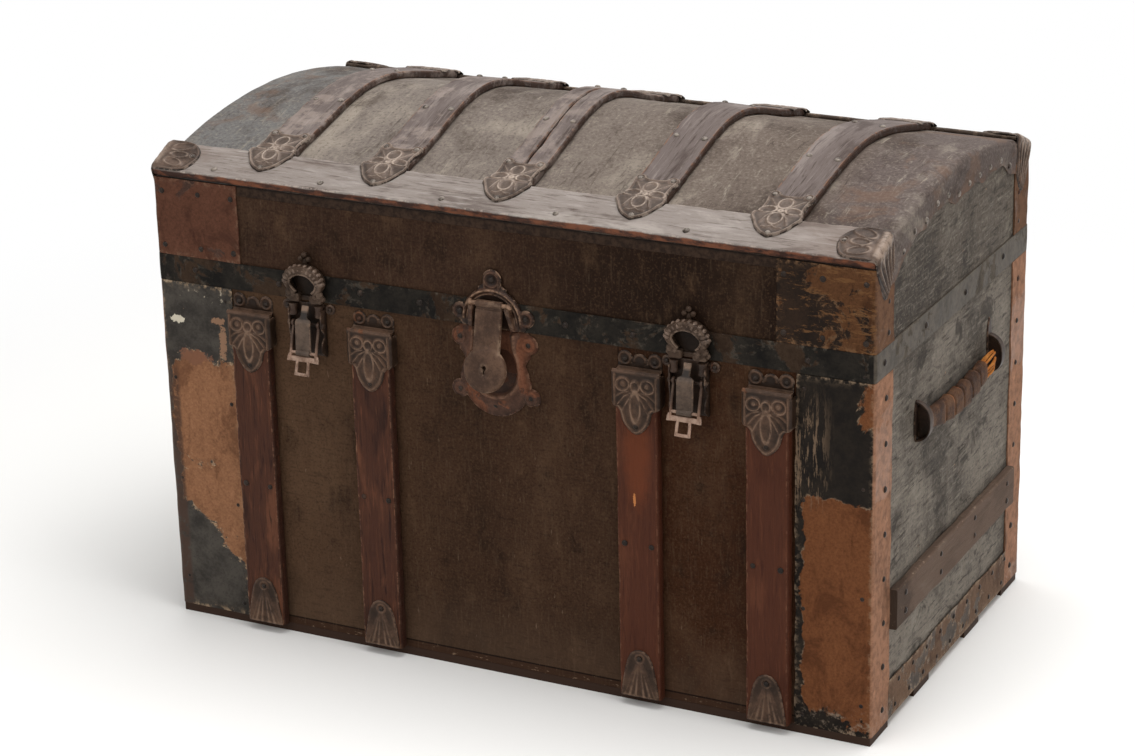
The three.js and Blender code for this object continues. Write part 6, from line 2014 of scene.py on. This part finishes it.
Collector().add(**lower).make("lock_plate_base", LOCK_RUST, "base", "lock_base_plate", "rusted_iron")
for side in (-1, 1):
    nail("lid", (LOCK_X + side * 35 * MM, LOCK_WALL - 1.4 * MM, LID_FOOT + 13.5 * MM), (0, -1, 0), 3.4, 2.0)
    nail("base", (LOCK_X + side * 36.5 * MM, PLATE_WALL - 1.4 * MM, PARTING - 12.5 * MM), (0, -1, 0), 3.2, 2.2)
    nail("base", (LOCK_X + side * 38 * MM, PLATE_WALL - 1.4 * MM, PARTING - 66 * MM), (0, -1, 0), 3.0, 2.0)
nail("lid", (LOCK_X, LOCK_WALL - 1.4 * MM, LID_FOOT + 48.6 * MM), (0, -1, 0), 3.5, 2.2)
nail("base", (LOCK_X, PLATE_WALL - 2.2 * MM, PARTING - 78 * MM), (0, -1, 0), 3.0, 1.7)
print("lock plates at", round(LOCK_X, 4))

# %% [markdown]
# ## The hasp
# The hasp is worked out flat, with its keyhole cut out, and is then hung from its pin with a lean. That
# keeps its outline simple. Its knuckle is a closed ring swept round the pin.

# %% Hasp
HASP_TILT = 0.2
HASP_DOWN = np.array([0, -math.sin(HASP_TILT), -math.cos(HASP_TILT)])
HASP_OUT = np.array([0, -math.cos(HASP_TILT), math.sin(HASP_TILT)])


def hasp_field(u, v):
    """The shank and the disc, with the keyhole cut out; v runs up from the pin."""
    shape = np.maximum(slab(u, v, (-14, -66), (14, -1.2), 0.8), disc(u, v, (0, -63), 22.3))
    return np.minimum(shape, -np.maximum(disc(u, v, (0, -61), 2.1), slab(u, v, (-0.9, -67.5), (0.9, -61))))


def hasp_lift(u, v, depth):
    """A flat face with a soft edge, a ring at the keyhole and a rise where the shank meets the disc."""
    round_part = step_up(np.hypot(u, v + 63), 21.5, -0.5)
    ring = 0.9 * ridge(np.hypot(u, v + 61.4) - 3.6, 0.7)
    grain = 0.25 * ripple(np.stack([u * MM, v * MM, 0 * u], axis=-1), 20 * MM, 1.0, 7)
    return 0.6 + 1.3 * step_up(v, -5.4, -0.25) + 2.0 * round_part + ring + grain + 0.9 * rounded(depth, 1.1)


def hasp_bend(u, v, h):
    """Hangs the flat hasp from its pin, leaning out."""
    return HASP_PIN + np.stack([u, 0 * u, 0 * u], axis=-1) - HASP_DOWN * v[..., None] + HASP_OUT * h[..., None]


hasp = Collector()
hasp.add(**stamped(hasp_field, (-22.6, -86), (22.6, -1), 0.8, hasp_lift, hasp_bend, lambda u, v, depth: 0 * u - 1.3))
ring = HASP_PIN + 3.05 * MM * circle(24) @ np.array([HASP_DOWN, HASP_OUT])
knuckle = swept(ring, soft_section(27.4 * MM, 1.3 * MM, 0.4 * MM), CROSSWAYS, closed=True)
hasp.add(*knuckle, edge=0.35)
lip = [HASP_PIN + HASP_DOWN * 6.4 * MM + HASP_OUT * 0.7 * MM + (side * 13.6 * MM, 0, 0) for side in (-1, 0, 1)]
hasp.add(*swept(lip, soft_section(2.2 * MM, 1.5 * MM, 0.5 * MM), HASP_DOWN), edge=1.0)
boss = [HASP_PIN + HASP_DOWN * 63 * MM - HASP_OUT * depth * MM for depth in (0.6, 6, 12, 17.8)]
hasp.add(*swept(boss, soft_section(20 * MM, 16 * MM, 2 * MM), CROSSWAYS), relief=0.1)
hasp.make("lock_hasp_disc", HASP_IRON, "hasp", "lock_hasp", "brown_iron")
print("hasp pin at", [round(float(value), 4) for value in HASP_PIN])

# %% [markdown]
# ## Handles
# Each end has a leather handle between two iron clips, straps that bow out round its ends. The leather is a
# strip wound flat round a core, so its surface is a row of slanting turns that overlap like shingles. One
# turn length gives the pattern: the section's size steps at each turn. Near the rear clip the wrap has torn
# and the core's fibres show.

# %% Handle places
CLIP_SPREAD = 101 * MM
CLIP_HALF = 19.6
CLIP_OUT = 15.2
PIN_DEPTH = 8.5 * MM
PIN_HIGH = PARTING - 74 * MM
HANDLE_FACE = RIGHT + 0.3 * MM
TURN_PITCH = 24 * MM
TURN_SLANT = 5 * MM


def grip_line(share):
    """The grip's middle line at a share of its length: along the end, sag, half width and half thickness."""
    swell = np.sin(math.pi * share)
    return ((-94.7 + 189.4 * share) * MM, -9 * swell * MM, (7.5 + 5.5 * swell ** 0.7) * MM, (3.9 + 1.6 * swell) * MM)


def flattened(value, power):
    """A sine or cosine pushed outwards, which squares a round section's corners."""
    return np.sign(value) * np.abs(value) ** power


def grip(end):
    """The wound leather, with its turns and its torn end."""
    sides, count = 40, 320
    share = np.linspace(0.0, 1, count)[:, None]
    along, drop, wide, thick = grip_line(share)
    angle = np.linspace(0, 2 * math.pi, sides, endpoint=False)[None]
    turn = ((along + TURN_SLANT * np.cos(angle)) / TURN_PITCH + 0.3) % 1.0
    torn, plain = step_up(share, 0.83, 0.008), step_up(share, 0.2, -0.006)
    groove = ridge(np.minimum(turn, 1 - turn), 0.09) * (1 - plain) * (1 - torn)
    body = (2.0 * turn - 4.2 * groove) * (1 - torn) * (1 - plain)
    body = body + torn * (-2.6 + 0.9 * np.cos(angle * 9 + share * 20)) + plain * 0.9
    across = (wide + 0.9 * MM * body) * flattened(np.cos(angle), 0.5)
    out = (thick + 0.7 * MM * body) * flattened(np.sin(angle), 0.8)
    points = np.stack([end * (HANDLE_FACE + PIN_DEPTH + out), MIDDLE + along + 0 * across,
                       PIN_HIGH + drop + across], axis=-1)
    points = points + ripple(points, 26 * MM, 0.5 * MM, 3)[..., None] * np.array([0.6, 0, 1])
    uv = np.stack([along + 0 * angle, angle * 9 * MM + 0 * along], axis=-1).reshape(-1, 2)
    raw = ridge(turn - 0.88, 0.07) * (1 - plain) * (0.9 * (share < 0.42) + 0.5 * (share > 0.7)) + torn
    # A low relief number, in the grooves between turns and over the torn part, is painted near black as shade.
    relief = 0.8 * (1 - groove) * (1 - 0.75 * torn)
    return Collector().add(points, tube_faces(count, sides), uv, np.clip(raw, 0, 1).ravel(), relief.ravel())


def fibres(end):
    """Loose core strands at the torn end."""
    form = Collector()
    chance = np.random.default_rng(11)
    for _ in range(22):
        around = chance.uniform(0, 2 * math.pi)
        share = np.linspace(0.8 + 0.03 * chance.random(), 0.955 + 0.03 * chance.random(), 10)
        along, drop, wide, thick = grip_line(share)
        bulge = np.sin(np.linspace(0, math.pi, 10)) * chance.uniform(0.6, 3.2) * MM
        path = straight(10, end * (HANDLE_FACE + PIN_DEPTH + (thick - 0.8 * MM + bulge) * math.cos(around)),
                        MIDDLE + along, PIN_HIGH + drop + (wide - 1.6 * MM + bulge) * math.sin(around))
        form.add(*swept(path, chance.uniform(0.7, 1.3) * MM * circle(6), (0, 0.1, 1)))
    return form


def clip(end, way):
    """An iron clip: a strap that bows out round the handle's end, on a plate with a pointed tip."""
    form = Collector()
    centre = MIDDLE + way * CLIP_SPREAD
    lean = np.linspace(-1, 1, 33)
    rise = CLIP_OUT * (1 - np.abs(lean) ** 2.6) ** 0.62
    path = straight(33, end * (HANDLE_FACE + (0.9 + rise * 0.94) * MM), centre, PIN_HIGH + CLIP_HALF * lean * MM)
    sections = [soft_section(width * MM, 1.7 * MM, 0.6 * MM, 4) for width in 9.8 - 3.2 * np.abs(lean) ** 2]
    form.add(*swept(path, sections, (0, 1, 0)), edge=0.3)

    def back_bend(u, v, h):
        return np.stack([end * (HANDLE_FACE + 0.9 * MM + 0.9 * v), centre + way * (h - 2.4 * MM), PIN_HIGH + u], axis=-1)

    def plate_bend(u, v, h):
        return np.stack([end * (HANDLE_FACE + h), centre + u, PIN_HIGH + v], axis=-1)

    tip = 37 if way > 0 else 21
    plate = smoothed([(0, tip), (3.6, tip - 5), (5.6, tip - 11), (6, 6), (6, -6), (4.2, -16), (0, -21),
                      (-4.2, -16), (-6, -6), (-6, 6), (-5.6, tip - 11), (-3.6, tip - 5)], 4)
    back = stamped(inside(np.stack([CLIP_HALF * lean, rise], axis=1)), (-CLIP_HALF, 0), (CLIP_HALF, CLIP_OUT), 0.9,
                   lambda u, v, depth: 1.0 + 1.6 * rounded(depth, 5), back_bend)
    foot = stamped(inside(plate), (-6.6, -21.4), (6.6, 37.4), 0.8, lambda u, v, depth: 1.4 + 0.5 * rounded(depth, 0.8),
                   plate_bend)
    form.add(**{**back, "relief": 0.3}).add(**{**foot, "relief": 0.2})
    for drop in (-17.4, 17.6):
        nail("base", (end * (HANDLE_FACE + 1.6 * MM), centre, PIN_HIGH + drop * MM), (end, 0, 0), 1.9, 1.4)
    return form


for end, name in SIDES.items():
    grip(end).make(f"handle_wrap_{name}", LEATHER, f"handle_{name}_grip", f"handle_{name}", "leather", smooth=60)
    fibres(end).make(f"handle_core_{name}", FIBRE, f"handle_{name}_grip", f"handle_{name}", "leather")
    for way, place, letter in zip((-1, 1), ("front", "rear"), "ab" if end > 0 else "ba"):
        node = f"handle_clip_{name}_{letter}"
        clip(end, way).make(f"handle_clip_{place}_{name}", STRAP_IRON, "base", node, "brown_iron")
    print("handle", name, "at", round(PIN_HIGH, 4))

# %% [markdown]
# ## Nails
# Every piece above noted its nails. A trunk has over a hundred, all alike, so Geometry Nodes make them from
# points: one low dome on each point, turned to face outwards, with a little variation in size. The result
# is one plain mesh for the base and one for the lid.

# %% Nails
NAIL_TREE = heads_tree("nail_heads", NAIL_IRON, 14, 8)
for body, rows in NAILS.items():
    places, ways, sizes = (list(column) for column in zip(*rows))
    source = points_mesh(f"nail_points_{body}", places, ways, sizes)
    data = nodes_mesh(f"nails_{body}", NAIL_TREE, source, {"Size": 1.0, "Variation": 0.18, "Seed": 7})
    add_numbers(data, edge=0.3)
    add_piece(f"nails_{body}", data, body, slot="black_iron")
    print("nails on the", body, len(rows))

# %% [markdown]
# ## Sizes
# The box of the model and that of the dressed trunk are written out. The dressed trunk must not
# be bigger than the model.

# %% Sizes
size_rows = {"cad": [list(corner) for corner in cad_box], "visual": [list(corner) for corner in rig.bounds()]}
json.dump(size_rows, open("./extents.json", "w"))
print(size_rows)
